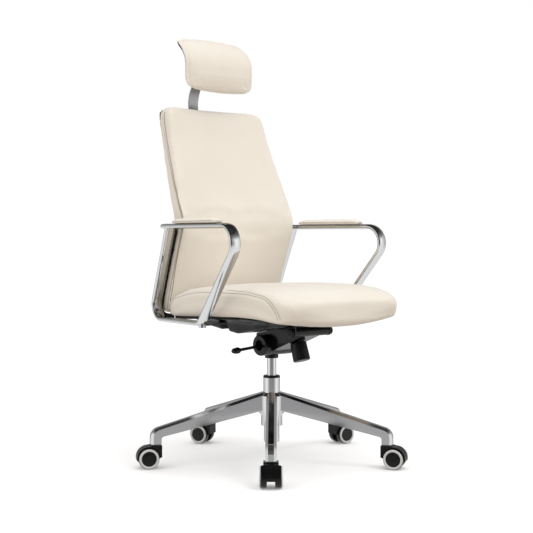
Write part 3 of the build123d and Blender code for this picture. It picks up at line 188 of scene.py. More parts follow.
def light_world():
    """White for the camera, the mirror room for mirror rays, and a soft sky for everything else."""
    world = bpy.data.worlds.new("studio_room")
    world.use_nodes = True
    tree = world.node_tree
    tree.nodes.clear()
    ray = add_node(tree, "ShaderNodeLightPath").outputs
    way = add_node(tree, "ShaderNodeTexCoord").outputs["Generated"]
    room = add_node(tree, "ShaderNodeGroup", {"Vector": way}, node_tree=make_mirror_room())
    sky = backdrop(tree, turned_ramp(tree, way, UPWARD, SKY_STOPS), SKY_LEVEL)
    mirror = backdrop(tree, room.outputs["Color"], 1.0)
    white = backdrop(tree, grey(1.0), 1.0)
    rays = {0: ray["Is Glossy Ray"], 1: ray["Is Transmission Ray"]}
    mirrored = add_node(tree, "ShaderNodeMath", rays, operation="MAXIMUM").outputs[0]
    unseen = add_node(tree, "ShaderNodeMixShader", {"Fac": mirrored, 1: sky, 2: mirror}).outputs[0]
    whole = add_node(tree, "ShaderNodeMixShader", {"Fac": ray["Is Camera Ray"], 1: unseen, 2: white})
    add_node(tree, "ShaderNodeOutputWorld", {"Surface": whole.outputs[0]})
    return world


scene.world = light_world()
scene.view_settings.view_transform = "Standard"
print("world: sky level", SKY_LEVEL)

# %% Floor
FLOOR_SPAN = 120.0
FLOOR_SEEN = grey(0.86)
FLOOR_BOUNCE = (0.53, 0.485, 0.44, 1.0)
FLOOR_GLOW = 0.17


def floor_finish():
    """Pale matt floor that the camera sees white, and that gives back less and warmer light."""
    material = bpy.data.materials.new("studio_floor")
    material.use_nodes = True
    tree = material.node_tree
    tree.nodes.clear()
    seen = add_node(tree, "ShaderNodeLightPath").outputs["Is Camera Ray"]
    tone = mix_colours(tree, seen, FLOOR_BOUNCE, FLOOR_SEEN)
    matt = add_node(tree, "ShaderNodeBsdfDiffuse", {"Color": tone})
    glow = add_node(tree, "ShaderNodeMath", {0: seen, 1: FLOOR_GLOW}, operation="MULTIPLY")
    shine = add_node(tree, "ShaderNodeEmission", {"Color": grey(1.0), "Strength": glow.outputs[0]})
    both = add_node(tree, "ShaderNodeAddShader", {0: matt.outputs[0], 1: shine.outputs[0]})
    add_node(tree, "ShaderNodeOutputMaterial", {"Surface": both.outputs[0]})
    return material


def lay_floor():
    """One large square at floor level."""
    half = FLOOR_SPAN / 2
    mesh = bpy.data.meshes.new("studio_floor")
    corners = [(-half, -half, 0.0), (half, -half, 0.0), (half, half, 0.0), (-half, half, 0.0)]
    mesh.from_pydata(corners, [], [(0, 1, 2, 3)])
    mesh.materials.append(floor_finish())
    floor = bpy.data.objects.new("studio_floor", mesh)
    floor.visible_glossy = False
    scene.collection.objects.link(floor)
    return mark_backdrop(floor)


lay_floor()
print("floor:", FLOOR_SPAN, "m square")

# %% Lamps
LAMP_AIM = (0.0, 0.0, 0.65)
LAMPS = (
    ("key_softbox", (0.8, -2.0, 3.2), 1.6, 30.0),
    ("side_softbox", (-2.8, 0.2, 2.0), 1.6, 9.0),
)


def hang_lamp(name, kind, place, aim, watts):
    """A lamp that is turned towards a point, and that mirrors don't show."""
    lamp = bpy.data.objects.new(name, bpy.data.lights.new(name, kind))
    lamp.data.energy = watts
    lamp.location = place
    lamp.visible_glossy = False
    lamp.rotation_euler = (Vector(aim) - Vector(place)).to_track_quat("-Z", "Y").to_euler()
    scene.collection.objects.link(lamp)
    return lamp.data


for lamp_name, lamp_place, lamp_span, lamp_watts in LAMPS:
    hang_lamp(lamp_name, "AREA", lamp_place, LAMP_AIM, lamp_watts).size = lamp_span
print("softboxes:", len(LAMPS))

# %% A narrow lamp for the shade below the arms
SPOT_PLACE = (-0.5, -2.6, 1.05)
SPOT_AIM = (0.0, 0.2, 0.575)
SPOT_WIDTH = math.radians(7.2)
SPOT_WATTS = 56.0
SPOT_SOFTNESS = 0.10

spot = hang_lamp("back_spot", "SPOT", SPOT_PLACE, SPOT_AIM, SPOT_WATTS)
spot.spot_size = SPOT_WIDTH
spot.spot_blend = 1.0
spot.shadow_soft_size = SPOT_SOFTNESS
print("spot of", SPOT_WATTS, "watts on the lower back")

# %% [markdown]
# ## Shared surface effects
#
# Leather, plastic and metal all need small unevenness, but each in its own way. An effect that
# several finishes use is built once as a node group with named inputs. The groups put out heights
# and masks only, and the shader itself stays in each material.

# %% Node groups: grain and scuffs
CREASE_WIDTH = 0.22
WORN_FROM = 0.52
WORN_FULL = 0.78


def new_group(name, inputs, outputs):
    """An empty shader group with a Vector input, float inputs and float outputs."""
    tree = bpy.data.node_groups.new(name, "ShaderNodeTree")
    tree.interface.new_socket("Vector", in_out="INPUT", socket_type="NodeSocketVector")
    for label in inputs:
        tree.interface.new_socket(label, in_out="INPUT", socket_type="NodeSocketFloat")
    for label in outputs:
        tree.interface.new_socket(label, in_out="OUTPUT", socket_type="NodeSocketFloat")
    return tree, add_node(tree, "NodeGroupInput").outputs


def noise(tree, given, size, **inputs):
    """A noise at the group's own place, whose scale is one of the group's sizes."""
    start = {"Vector": given["Vector"], "Scale": given[size]}
    return add_node(tree, "ShaderNodeTexNoise", {**start, **inputs}).outputs["Fac"]


def soft_range(tree, value, start, end):
    """A mask that runs smoothly from 0 at start to 1 at end."""
    ends = {"Value": value, "From Min": start, "From Max": end}
    return add_node(tree, "ShaderNodeMapRange", ends, interpolation_type="SMOOTHSTEP").outputs["Result"]


def make_pebble_group():
    """Pebbled skin: rounded cells with creases between them, and slow light and dark patches."""
    tree, given = new_group("pebbled_skin", ("Cells", "Patches"), ("Height", "Patch"))
    where = {"Vector": given["Vector"], "Scale": given["Cells"]}
    cells = add_node(tree, "ShaderNodeTexVoronoi", where, feature="DISTANCE_TO_EDGE")
    height = soft_range(tree, cells.outputs["Distance"], 0.0, CREASE_WIDTH)
    patch = noise(tree, given, "Patches", Detail=3.0, Roughness=0.55)
    add_node(tree, "NodeGroupOutput", {"Height": height, "Patch": patch})
    return tree


def make_scuff_group():
    """Scuffs: a fine even texture, and a mask of thin worn patches."""
    tree, given = new_group("scuffed_skin", ("Texture", "Scuffs"), ("Height", "Worn"))
    fine = noise(tree, given, "Texture", Detail=4.0, Roughness=0.6)
    broad = noise(tree, given, "Scuffs", Detail=6.0, Roughness=0.7, Distortion=0.6)
    worn = soft_range(tree, broad, WORN_FROM, WORN_FULL)
    add_node(tree, "NodeGroupOutput", {"Height": fine, "Worn": worn})
    return tree


pebble_group = make_pebble_group()
scuff_group = make_scuff_group()
print("groups:", pebble_group.name, "and", scuff_group.name)

# %% Helpers that fill a material
def new_finish(name, **constants):
    """A material, its tree, the inputs of its shader with constants set, and Object coordinates."""
    material = bpy.data.materials.new(name)
    material.use_nodes = True
    tree = material.node_tree
    shader = tree.nodes["Principled BSDF"].inputs
    for label, value in constants.items():
        shader[label.replace("_", " ")].default_value = value
    return material, tree, shader, add_node(tree, "ShaderNodeTexCoord").outputs["Object"]


def place_group(tree, group, vector, **sizes):
    """A shader group in a material, with its coordinates linked and its sizes set."""
    return add_node(tree, "ShaderNodeGroup", {"Vector": vector, **sizes}, node_tree=group).outputs


def vary_colour(tree, factor, low, high, socket):
    """Feeds a colour that runs from low to high with factor."""
    feed(tree, socket, mix_colours(tree, factor, (*low, 1.0), (*high, 1.0)))


def vary_value(tree, factor, low, high, socket):
    """Feeds a number that runs from low to high with factor."""
    spread = add_node(tree, "ShaderNodeMapRange", {"Value": factor, "To Min": low, "To Max": high})
    feed(tree, socket, spread.outputs["Result"])


def raise_bumps(tree, shader, height, depth, strength):
    """A bump of that depth in metres on the shader's normal."""
    bump = add_node(tree, "ShaderNodeBump", {"Height": height, "Distance": depth, "Strength": strength})
    feed(tree, shader["Normal"], bump.outputs["Normal"])


print("material helpers ready")

# %% [markdown]
# ## Leather and thread
#
# The covers are smooth cream leather with a fine grain that only shows close up. A plain colour
# would look like plastic, so the colour drifts a little from patch to patch, and the gloss follows
# the same patches. The chromed posts stand so close to the leather that what they mirror lies in
# their own shade, so for mirror rays the leather's colour is multiplied darker: painted shade.

# %% Leather finishes
LEATHER_PALE = (0.822, 0.776, 0.700)
LEATHER_DEEP = (0.778, 0.722, 0.636)
LEATHER_MATT = 0.58
LEATHER_GLOSSY = 0.42
# painted shade: the colour that multiplies the leather's colour for mirror rays
MIRRORED_PAINTED_SHADE = (0.52, 0.50, 0.46)
PEBBLES_PER_METRE = 620.0
PATCHES_PER_METRE = 9.0
PEBBLE_DEPTH = 0.16 * MM


def leather(name, pale, deep):
    """Grained leather whose colour and gloss drift between patches, darkened for mirror rays as painted shade."""
    material, tree, shader, place = new_finish(name, Specular_IOR_Level=0.42, Sheen_Weight=0.06)
    grain = place_group(tree, pebble_group, place, Cells=PEBBLES_PER_METRE, Patches=PATCHES_PER_METRE)
    colour = mix_colours(tree, grain["Patch"], (*deep, 1.0), (*pale, 1.0))
    # painted shade: for mirror rays the leather's colour is multiplied darker
    mirrored = add_node(tree, "ShaderNodeLightPath").outputs["Is Glossy Ray"]
    shaded = mix_colours(tree, mirrored, colour, (*MIRRORED_PAINTED_SHADE, 1.0), "MULTIPLY")
    feed(tree, shader["Base Color"], shaded)
    vary_value(tree, grain["Patch"], LEATHER_MATT, LEATHER_GLOSSY, shader["Roughness"])
    raise_bumps(tree, shader, grain["Height"], PEBBLE_DEPTH, strength=0.5)
    return material


cream_leather = leather("cream_leather", LEATHER_PALE, LEATHER_DEEP)
# painted shade: a dark leather for the cords that lie in seam grooves
seam_shadow = leather("seam_shadow", (0.30, 0.25, 0.19), (0.22, 0.18, 0.135))
# painted shade: a dark leather for the cord in the gap beside the back's piping
seam_gap_shade = leather("seam_gap_shade", (0.10, 0.093, 0.085), (0.07, 0.065, 0.06))
print("leather:", cream_leather.name, seam_shadow.name, seam_gap_shade.name)

# %% Thread
THREAD_DARK = (0.62, 0.55, 0.46)
THREAD_PALE = (0.78, 0.71, 0.61)
TWISTS_PER_METRE = 900.0
TWIST_DEPTH = 0.1 * MM


def thread_finish():
    """Twisted thread: a fine slanted ripple on an off-white cord."""
    material, tree, shader, place = new_finish("seam_thread", Roughness=0.7)
    where = {"Vector": place, "Scale": TWISTS_PER_METRE}
    ripple = add_node(tree, "ShaderNodeTexWave", where, bands_direction="DIAGONAL").outputs["Fac"]
    vary_colour(tree, ripple, THREAD_DARK, THREAD_PALE, shader["Base Color"])
    raise_bumps(tree, shader, ripple, TWIST_DEPTH, strength=0.6)
    return material


seam_thread = thread_finish()
print("thread:", seam_thread.name)

# %% [markdown]
# ## Metal finishes
#
# The arms and the lift are chromed, the base is polished aluminium, and the headrest strap is
# brushed steel. All three are full metals that mirror the room, so what tells them apart is their
# colour, how far the mirror is blurred, and the direction of the fine lines in it.

# %% Chrome, aluminium and steel
POLISH_DEPTH = 0.01 * MM
BRUSH_DEPTH = 0.04 * MM
BRUSH_SPREAD = 0.06
ACROSS_STRAP = (1800.0, 12.0, 12.0)
ROUND_TURNING = (60.0, 60.0, 2200.0)


def polished_metal(name, colour, clear, cloudy):
    """A mirror metal whose blur drifts between clear and cloudy patches."""
    material, tree, shader, place = new_finish(name, Base_Color=(*colour, 1.0), Metallic=1.0)
    skin = place_group(tree, scuff_group, place, Texture=260.0, Scuffs=14.0)
    vary_value(tree, skin["Worn"], clear, cloudy, shader["Roughness"])
    raise_bumps(tree, shader, skin["Height"], POLISH_DEPTH, strength=0.15)
    return material


def brushed_metal(name, dark, pale, stretch, rough):
    """Metal with fine parallel lines: noise that is stretched along the brushing."""
    material, tree, shader, place = new_finish(name, Metallic=1.0)
    turned = add_node(tree, "ShaderNodeMapping", {"Vector": place, "Scale": stretch}).outputs["Vector"]
    where = {"Vector": turned, "Scale": 1.0, "Detail": 3.0, "Roughness": 0.6}
    lines = add_node(tree, "ShaderNodeTexNoise", where).outputs["Fac"]
    vary_colour(tree, lines, dark, pale, shader["Base Color"])
    vary_value(tree, lines, rough + BRUSH_SPREAD, rough - BRUSH_SPREAD, shader["Roughness"])
    raise_bumps(tree, shader, lines, BRUSH_DEPTH, strength=0.35)
    return material


bright_chrome = polished_metal("bright_chrome", (0.87, 0.875, 0.885), 0.035, 0.09)
polished_aluminium = polished_metal("polished_aluminium", (0.84, 0.84, 0.85), 0.13, 0.20)
brushed_steel = brushed_metal(
    "brushed_steel", (0.34, 0.34, 0.34), (0.56, 0.56, 0.565), ACROSS_STRAP, 0.30
)
plain_steel = brushed_metal(
    "plain_steel", (0.42, 0.42, 0.43), (0.56, 0.56, 0.57), ROUND_TURNING, 0.36
)
print("metals:", bright_chrome.name, polished_aluminium.name, brushed_steel.name, plain_steel.name)

# %% [markdown]
# ## Black parts
#
# The mechanism, pans and hoods are moulded black plastic with a fine spark texture, the brackets
# are steel under black paint, and the wheels are nylon that rolls on the floor and gets scuffed.
# They share the scuff group, each with its own sizes, so that no two blacks are quite alike.

# %% Plastic, paint and nylon
SCUFFS_PER_METRE = 26.0
WORN_ROUGHER = 0.14


def moulded(name, colour, worn_colour, texture, depth, rough, gloss):
    """A moulded or painted surface: a fine texture, and scuffs that are paler and less glossy."""
    material, tree, shader, place = new_finish(name, Specular_IOR_Level=gloss)
    skin = place_group(tree, scuff_group, place, Texture=texture, Scuffs=SCUFFS_PER_METRE)
    vary_colour(tree, skin["Worn"], colour, worn_colour, shader["Base Color"])
    vary_value(tree, skin["Worn"], rough, rough + WORN_ROUGHER, shader["Roughness"])
    raise_bumps(tree, shader, skin["Height"], depth, strength=0.4)
    return material


black_plastic = moulded(
    "black_plastic", (0.005, 0.005, 0.0053), (0.010, 0.010, 0.0105), 1500.0, 0.08 * MM, 0.27, 0.28
)
black_steel = moulded(
    "black_steel", (0.004, 0.004, 0.0042), (0.009, 0.009, 0.0093), 420.0, 0.04 * MM, 0.20, 0.40
)
shell_plastic = moulded(
    "shell_plastic", (0.017, 0.017, 0.0175), (0.028, 0.0275, 0.027), 700.0, 0.10 * MM, 0.38, 0.42
)
wheel_nylon = moulded(
    "wheel_nylon", (0.005, 0.005, 0.0053), (0.014, 0.0135, 0.013), 900.0, 0.06 * MM, 0.26, 0.35
)
red_plastic = moulded(
    "red_plastic", (0.50, 0.035, 0.028), (0.58, 0.09, 0.07), 900.0, 0.03 * MM, 0.25, 0.5
)
trim_silver = moulded(
    "trim_silver", (0.66, 0.665, 0.67), (0.54, 0.54, 0.545), 700.0, 0.03 * MM, 0.28, 0.5
)
print("black parts done, and", trim_silver.name, "for the wheel trims")

# %% Give every frame node its finish
SLOT_FINISHES = {
    "cream_leather": cream_leather,
    "polished_aluminium": polished_aluminium,
    "bright_chrome": bright_chrome,
    "brushed_steel": brushed_steel,
    "plain_steel": plain_steel,
    "black_steel": black_steel,
    "black_plastic": black_plastic,
    "wheel_nylon": wheel_nylon,
    "red_plastic": red_plastic,
}
OTHER_FINISHES = {
    "back_bolts": black_steel,
    "underseat_bolts": black_steel,
    "headrest_plate": shell_plastic,
}

for subpart in frame["record"]["subparts"]:
    materials = nodes[subpart["node"]].data.materials
    materials.clear()
    materials.append(OTHER_FINISHES.get(subpart["node"], SLOT_FINISHES[subpart["material_slot"]]))

# %% [markdown]
# ## Stuffed leather
#
# A cushion is foam pressed into a sewn cover: it swells until the leather holds it. Each one
# starts as a copy of its plain solid, is skinned again with even squares, smoothed, and drawn in a
# little. Then a cloth simulation blows it up for twenty frames while its resting side is held, and
# a cap on the movement keeps it from swelling past the size that the frame gives. The cover is
# then pulled back to the solid's own length, width and height, which the smoothing had taken a
# little from.

# %% Helpers for meshes
def link_piece(name, mesh, finish):
    """A new object at the origin with one material."""
    mesh.materials.clear()
    mesh.materials.append(finish)
    piece = bpy.data.objects.new(name, mesh)
    scene.collection.objects.link(piece)
    return piece


def bake(piece):
    """Replaces a piece's mesh by what its modifiers make of it, and removes them."""
    made = piece.evaluated_get(bpy.context.evaluated_depsgraph_get())
    mesh = bpy.data.meshes.new_from_object(made)
    piece.modifiers.clear()
    piece.data = mesh
    return piece


def points_of(mesh):
    """A mesh's points as an array of rows."""
    places = np.empty(len(mesh.vertices) * 3)
    mesh.vertices.foreach_get("co", places)
    return places.reshape(-1, 3)


def normals_of(mesh):
    """A mesh's point normals as an array of rows."""
    aims = np.empty(len(mesh.vertices) * 3)
    mesh.vertex_normals.foreach_get("vector", aims)
    return aims.reshape(-1, 3)


def move_points(mesh, places):
    """Puts a mesh's points at new places."""
    mesh.vertices.foreach_set("co", np.asarray(places, dtype=np.float32).ravel())
    mesh.update()


def shade_smooth(mesh):
    """Lets every face of a mesh blend into its neighbours."""
    mesh.polygons.foreach_set("use_smooth", [True] * len(mesh.polygons))


print("mesh helpers ready")

# %% Steps of a cushion
SAME_POINT = 0.02 * MM
SMOOTH_FACTOR = 0.5
HELD_FACING = 0.75
PUFF_FRAMES = 20
PUFF_PRESSURE = 4.0
PUFF_QUALITY = 3


def even_skin(node, name, voxel, rounds, finish=cream_leather):
    """A closed copy of a node's solid with even squares, smoothed a number of rounds."""
    mesh = nodes[node].data.copy()
    shell = bmesh.new()
    shell.from_mesh(mesh)
    bmesh.ops.remove_doubles(shell, verts=shell.verts, dist=SAME_POINT)
    shell.to_mesh(mesh)
    shell.free()
    piece = link_piece(name, mesh, finish)
    remesh = piece.modifiers.new("even_squares", "REMESH")
    remesh.mode = "VOXEL"
    remesh.voxel_size = voxel
    smooth = piece.modifiers.new("soften", "SMOOTH")
    smooth.factor = SMOOTH_FACTOR
    smooth.iterations = rounds
    return bake(piece)


def hold_side(piece, resting):
    """A point group that holds the side whose normals point along resting."""
    held = normals_of(piece.data) @ np.asarray(resting) > HELD_FACING
    group = piece.vertex_groups.new(name="held")
    group.add([int(i) for i in np.flatnonzero(held)], 1.0, "REPLACE")


def blow_up(piece, resting, cap):
    """Swells a piece by cloth simulation, with its resting side held, and caps how far a point moves."""
    start = points_of(piece.data)
    hold_side(piece, resting)
    cloth = piece.modifiers.new("stuffing", "CLOTH")
    cloth.settings.use_pressure = True
    cloth.settings.uniform_pressure_force = PUFF_PRESSURE
    cloth.settings.vertex_group_mass = "held"
    cloth.settings.quality = PUFF_QUALITY
    cloth.settings.effector_weights.gravity = 0.0
    cloth.collision_settings.use_collision = False
    cloth.point_cache.frame_start = 1
    cloth.point_cache.frame_end = PUFF_FRAMES
    for number in range(1, PUFF_FRAMES + 1):
        scene.frame_set(number)
    bake(piece)
    scene.frame_set(1)
    moved = points_of(piece.data) - start
    length = np.linalg.norm(moved, axis=1, keepdims=True)
    allowed = np.minimum(1.0, cap / np.maximum(length, 1e-9))
    move_points(piece.data, start + moved * allowed)
    return float(length.max())


def finish_cushion(piece, node, easing):
    """Eases the skin, divides it once, and pulls it to the box of the node it stands for."""
    ease = piece.modifiers.new("ease", "SMOOTH")
    ease.factor = SMOOTH_FACTOR
    ease.iterations = easing
    divide = piece.modifiers.new("finer", "SUBSURF")
    divide.levels = 1
    divide.render_levels = 1
    bake(piece)
    piece.vertex_groups.clear()
    places = points_of(piece.data)
    low, high = (np.array(corner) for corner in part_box(node))
    old_low, old_high = places.min(axis=0), places.max(axis=0)
    move_points(piece.data, low + (places - old_low) * (high - low) / (old_high - old_low))
    shade_smooth(piece.data)


def stuffed(node, name, voxel, rounds, draw_in, resting, cap, easing=2):
    """The whole way from a plain solid to a stuffed leather piece."""
    piece = even_skin(node, name, voxel, rounds)
    move_points(piece.data, points_of(piece.data) - draw_in * normals_of(piece.data))
    swell = blow_up(piece, resting, cap)
    finish_cushion(piece, node, easing)
    print(name, len(piece.data.polygons), "faces, swell before the cap", round(swell / MM, 1), "mm")
    return piece


print("a cushion swells for", PUFF_FRAMES, "frames at a pressure of", PUFF_PRESSURE)

# %% Seat and back
DOWN = (0.0, 0.0, -1.0)
REARWARD = (0.0, 1.0, 0.0)
BROAD = 6 * MM

seat = stuffed(
    "seat_cushion", "seat_leather", voxel=BROAD, rounds=5, draw_in=2.0 * MM,
    resting=DOWN, cap=4 * MM, easing=6,
)
back = stuffed(
    "back_cushion", "back_leather", voxel=BROAD, rounds=5, draw_in=1.0 * MM,
    resting=REARWARD, cap=3 * MM, easing=12,
)
band = stuffed(
    "back_panel", "back_side_band", voxel=BROAD, rounds=2, draw_in=0.6 * MM,
    resting=REARWARD, cap=1.2 * MM,
)

# %% [markdown]
# ### The hem of the seat
#
# The cover is drawn round the edge of the pan below, so the lower edge of the side is no level
# line: it hangs over the pan at the rear and rises towards the front leg of the arm. The points of
# the lower side are moved up or down by an amount that is written for a few depths, and fades out
# up the side.

# %% Let the hem of the seat hang
HEM_DEPTHS = (-0.23, -0.17, -0.10, 0.0, 0.10, 0.21)
HEM_DROPS = (0.0, -2.5, -3.0, 1.0, 5.0, 9.0)
HEM_TOP = 0.472
HEM_FOOT = 0.440
HEM_INSIDE = 0.190
HEM_OUTSIDE = 0.216
HEM_REAR_INSIDE = 0.185
HEM_REAR = 0.205


def soft_step(values, start, end):
    """Runs smoothly from 0 at start to 1 at end."""
    share = np.clip((values - start) / (end - start), 0.0, 1.0)
    return share * share * (3.0 - 2.0 * share)


def hang_hem(piece):
    """Moves the lower edge of the sides and the rear by the drops."""
    places = points_of(piece.data)
    outer = soft_step(np.abs(places[:, 0]), HEM_INSIDE, HEM_OUTSIDE)
    rear = soft_step(places[:, 1], HEM_REAR_INSIDE, HEM_REAR)
    low = soft_step(places[:, 2], HEM_TOP, HEM_FOOT)
    drop = np.interp(places[:, 1], HEM_DEPTHS, HEM_DROPS) * MM
    places[:, 2] -= drop * low * np.maximum(outer, rear)
    move_points(piece.data, places)


hang_hem(seat)
print("hem hangs", max(HEM_DROPS), "mm at the rear")

# %% [markdown]
# ### Pan and rear shell
#
# Under the seat is a black moulded tray, deepest beside the tilt mechanism, and behind the back is
# a thin black shell that stays inside the cream band. The frame has both as plain solids. Copies
# of them are skinned with even squares, so that they can be bent softly, and then stand for the
# solids.

# %% Bend the tray and draw the shell in
TRAY_DEPTHS = (-0.19, -0.14, -0.06, 0.01, 0.07, 0.12)
TRAY_DROPS = (0.0, 10.0, 24.0, 16.0, 8.0, 0.0)
TRAY_TOP = 0.4225
TRAY_FLOOR = 0.4150
TRAY_RIM = 0.4300
TRAY_RIM_REACH = 1.030
MOULDING_VOXEL = 3 * MM
SHELL_FREE = 1.045
SHELL_FULL = 0.84
SHELL_NARROWER = 0.050


def bend_tray():
    """The seat pan with a deeper floor and a wider rim."""
    tray = even_skin("seat_pan", "seat_pan_moulding", MOULDING_VOXEL, 1, black_plastic)
    places = points_of(tray.data)
    drop = np.interp(places[:, 1], TRAY_DEPTHS, TRAY_DROPS) * MM
    places[:, 0] *= 1.0 + (TRAY_RIM_REACH - 1.0) * soft_step(places[:, 2], TRAY_FLOOR, TRAY_RIM)
    places[:, 2] -= drop * soft_step(places[:, 2], TRAY_TOP, TRAY_FLOOR)
    move_points(tray.data, places)
    return tray


def draw_shell():
    """The rear shell, narrower below its top corners."""
    shell = even_skin("back_shell", "back_shell_moulding", MOULDING_VOXEL, 1, shell_plastic)
    places = points_of(shell.data)
    places[:, 0] *= 1.0 - SHELL_NARROWER * soft_step(places[:, 2], SHELL_FREE, SHELL_FULL)
    move_points(shell.data, places)
    return shell


for moulding, node in ((bend_tray(), "seat_pan"), (draw_shell(), "back_shell")):
    shade_smooth(moulding.data)
    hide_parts(node)
    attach(moulding, "seat")
    print(moulding.name, len(moulding.data.polygons), "faces")

# %% [markdown]
# ## Headrest and arm pads
#
# These are stuffed in the same way as the seat, but they are small, so their squares are smaller
# too.

# %% Headrest and arm pads
FINE = 2.5 * MM
PAD = {"voxel": FINE, "rounds": 3, "draw_in": 0.6 * MM, "resting": DOWN, "cap": 1.2 * MM}

headrest = stuffed(
    "headrest_cushion", "headrest_leather", voxel=FINE, rounds=6, draw_in=0.8 * MM,
    resting=REARWARD, cap=2.5 * MM,
)
pad_right = stuffed("arm_pad_right", "arm_pad_leather_right", **PAD)
pad_left = stuffed("arm_pad_left", "arm_pad_leather_left", **PAD)

# %% [markdown]
# ## The roll of the headrest
#
# The lower front of the headrest turns under, so it catches less light than the part above.
# Cutting the solid that way would also do it, but the foam's turn is soft, so here the points of
# the lower front are moved back, more the lower they are, and nothing else changes.

# %% Turn the lower front of the headrest under
ROLL_TOP = 1.160
ROLL_FOOT = 1.107
ROLL_DEPTH = 17 * MM
ROLL_POWER = 1.6


def turn_under(piece):
    """Moves the lower front back, more and more on the way down from the top of the roll."""
    places = points_of(piece.data)
    down = np.clip((ROLL_TOP - places[:, 2]) / (ROLL_TOP - ROLL_FOOT), 0.0, 1.0)
    rear = places[:, 1].copy()
    lower = places[:, 2] < ROLL_TOP
    depth = rear[lower].max() - rear
    share = np.clip(depth / np.ptp(rear[lower]), 0.0, 1.0)
    places[:, 1] += ROLL_DEPTH * down**ROLL_POWER * share
    move_points(piece.data, places)


turn_under(headrest)
print("headrest rolled under below", ROLL_TOP, "m")

# %% [markdown]
# ## Seams
#
# A cover is sewn from panels. Where two panels meet, the thread pulls the leather into a groove, a
# dark line shows in its depth, and a row of stitches runs along one side. A texture could paint
# that, but it would not catch the light. Here each seam is a path laid on the cushion: the leather
# is pressed in along it, a thin dark cord lies in the groove as painted shade of its depth, and
# geometry nodes set the stitches along a second path beside it.

# %% Paths on a surface
PATH_STEP = 4 * MM
PATH_SPLITS = 24
LOOK_FROM = 0.3


def smooth_path(corners, step=PATH_STEP):
    """Points at even steps along a smooth curve through the corners."""
    corners = np.asarray(corners, dtype=float)
    ends = np.vstack([2 * corners[0] - corners[1], corners, 2 * corners[-1] - corners[-2]])
    share = np.linspace(0.0, 1.0, PATH_SPLITS, endpoint=False)[:, None]
    runs = []
    for before, start, end, after in zip(ends, ends[1:], ends[2:], ends[3:]):
        bend = 2 * before - 5 * start + 4 * end - after
        twist = 3 * (start - end) + after - before
        runs.append(start + 0.5 * ((end - before) * share + bend * share**2 + twist * share**3))
    fine = np.vstack(runs + [corners[-1:]])
    along = np.concatenate([[0.0], np.cumsum(np.linalg.norm(np.diff(fine, axis=0), axis=1))])
    places = np.linspace(0.0, along[-1], max(2, int(along[-1] / step)))
    return np.column_stack([np.interp(places, along, fine[:, axis]) for axis in range(3)])


def skin_tree(piece):
    """A search tree of a piece's faces."""
    mesh = piece.data
    return BVHTree.FromPolygons([v.co for v in mesh.vertices], [p.vertices for p in mesh.polygons])


def lay_on(piece, path, aim):
    """Lays a path on a piece by looking along aim."""
    tree = skin_tree(piece)
    aim = Vector(aim).normalized()
    laid = []
    for point in path:
        place = tree.ray_cast(Vector(point) - aim * LOOK_FROM, aim)[0]
        if place is not None:
            laid.append(tuple(place))
    return np.array(laid)


def press_groove(piece, path, width, depth):
    """Presses the skin in along a path, deepest on the path and fading over the width."""
    finder = KDTree(len(path))
    for number, point in enumerate(path):
        finder.insert(point, number)
    finder.balance()
    places = points_of(piece.data)
    away = np.array([finder.find(place)[2] for place in places])
    push = depth * np.exp(-((away / width) ** 2))
    move_points(piece.data, places - push[:, None] * normals_of(piece.data))


def path_piece(name, path, closed=False):
    """An object with a path's points as a chain of edges."""
    count = len(path)
    edges = [(i, i + 1) for i in range(count - 1)]
    if closed:
        edges.append((count - 1, 0))
    mesh = bpy.data.meshes.new(name)
    mesh.from_pydata([tuple(point) for point in path], edges, [])
    piece = bpy.data.objects.new(name, mesh)
    scene.collection.objects.link(piece)
    return piece


print("path helpers ready")

# %% Geometry nodes: a cord and a row of stitches
CORD_SIDES = 8


def new_maker(name, sizes):
    """A geometry tree with a path, float sizes and a finish as inputs, and its path as a curve."""
    tree = bpy.data.node_groups.new(name, "GeometryNodeTree")
    tree.is_modifier = True
    tree.interface.new_socket("Path", in_out="INPUT", socket_type="NodeSocketGeometry")
    for label in sizes:
        tree.interface.new_socket(label, in_out="INPUT", socket_type="NodeSocketFloat")
    tree.interface.new_socket("Finish", in_out="INPUT", socket_type="NodeSocketMaterial")
    tree.interface.new_socket("Geometry", in_out="OUTPUT", socket_type="NodeSocketGeometry")
    given = add_node(tree, "NodeGroupInput").outputs
    line = add_node(tree, "GeometryNodeMeshToCurve", {"Mesh": given["Path"]})
    return tree, given, line.outputs["Curve"]


def end_maker(tree, made, finish):
    """The last nodes of a maker: real geometry, smooth shading and the finish."""
    for kind in ("GeometryNodeRealizeInstances", "GeometryNodeSetShadeSmooth"):
        made = add_node(tree, kind, {"Geometry": made}).outputs["Geometry"]
    paint = add_node(tree, "GeometryNodeSetMaterial", {"Geometry": made, "Material": finish})
    add_node(tree, "NodeGroupOutput", {"Geometry": paint.outputs["Geometry"]})
    return tree


def make_cord_maker():
    """A round cord along the path."""
    tree, given, line = new_maker("cord_along_path", ("Radius",))
    round_wire = {"Resolution": CORD_SIDES, "Radius": given["Radius"]}
    ring = add_node(tree, "GeometryNodeCurvePrimitiveCircle", round_wire).outputs["Curve"]
    sweep = {"Curve": line, "Profile Curve": ring, "Fill Caps": True}
    tube = add_node(tree, "GeometryNodeCurveToMesh", sweep)
    return end_maker(tree, tube.outputs["Mesh"], given["Finish"])


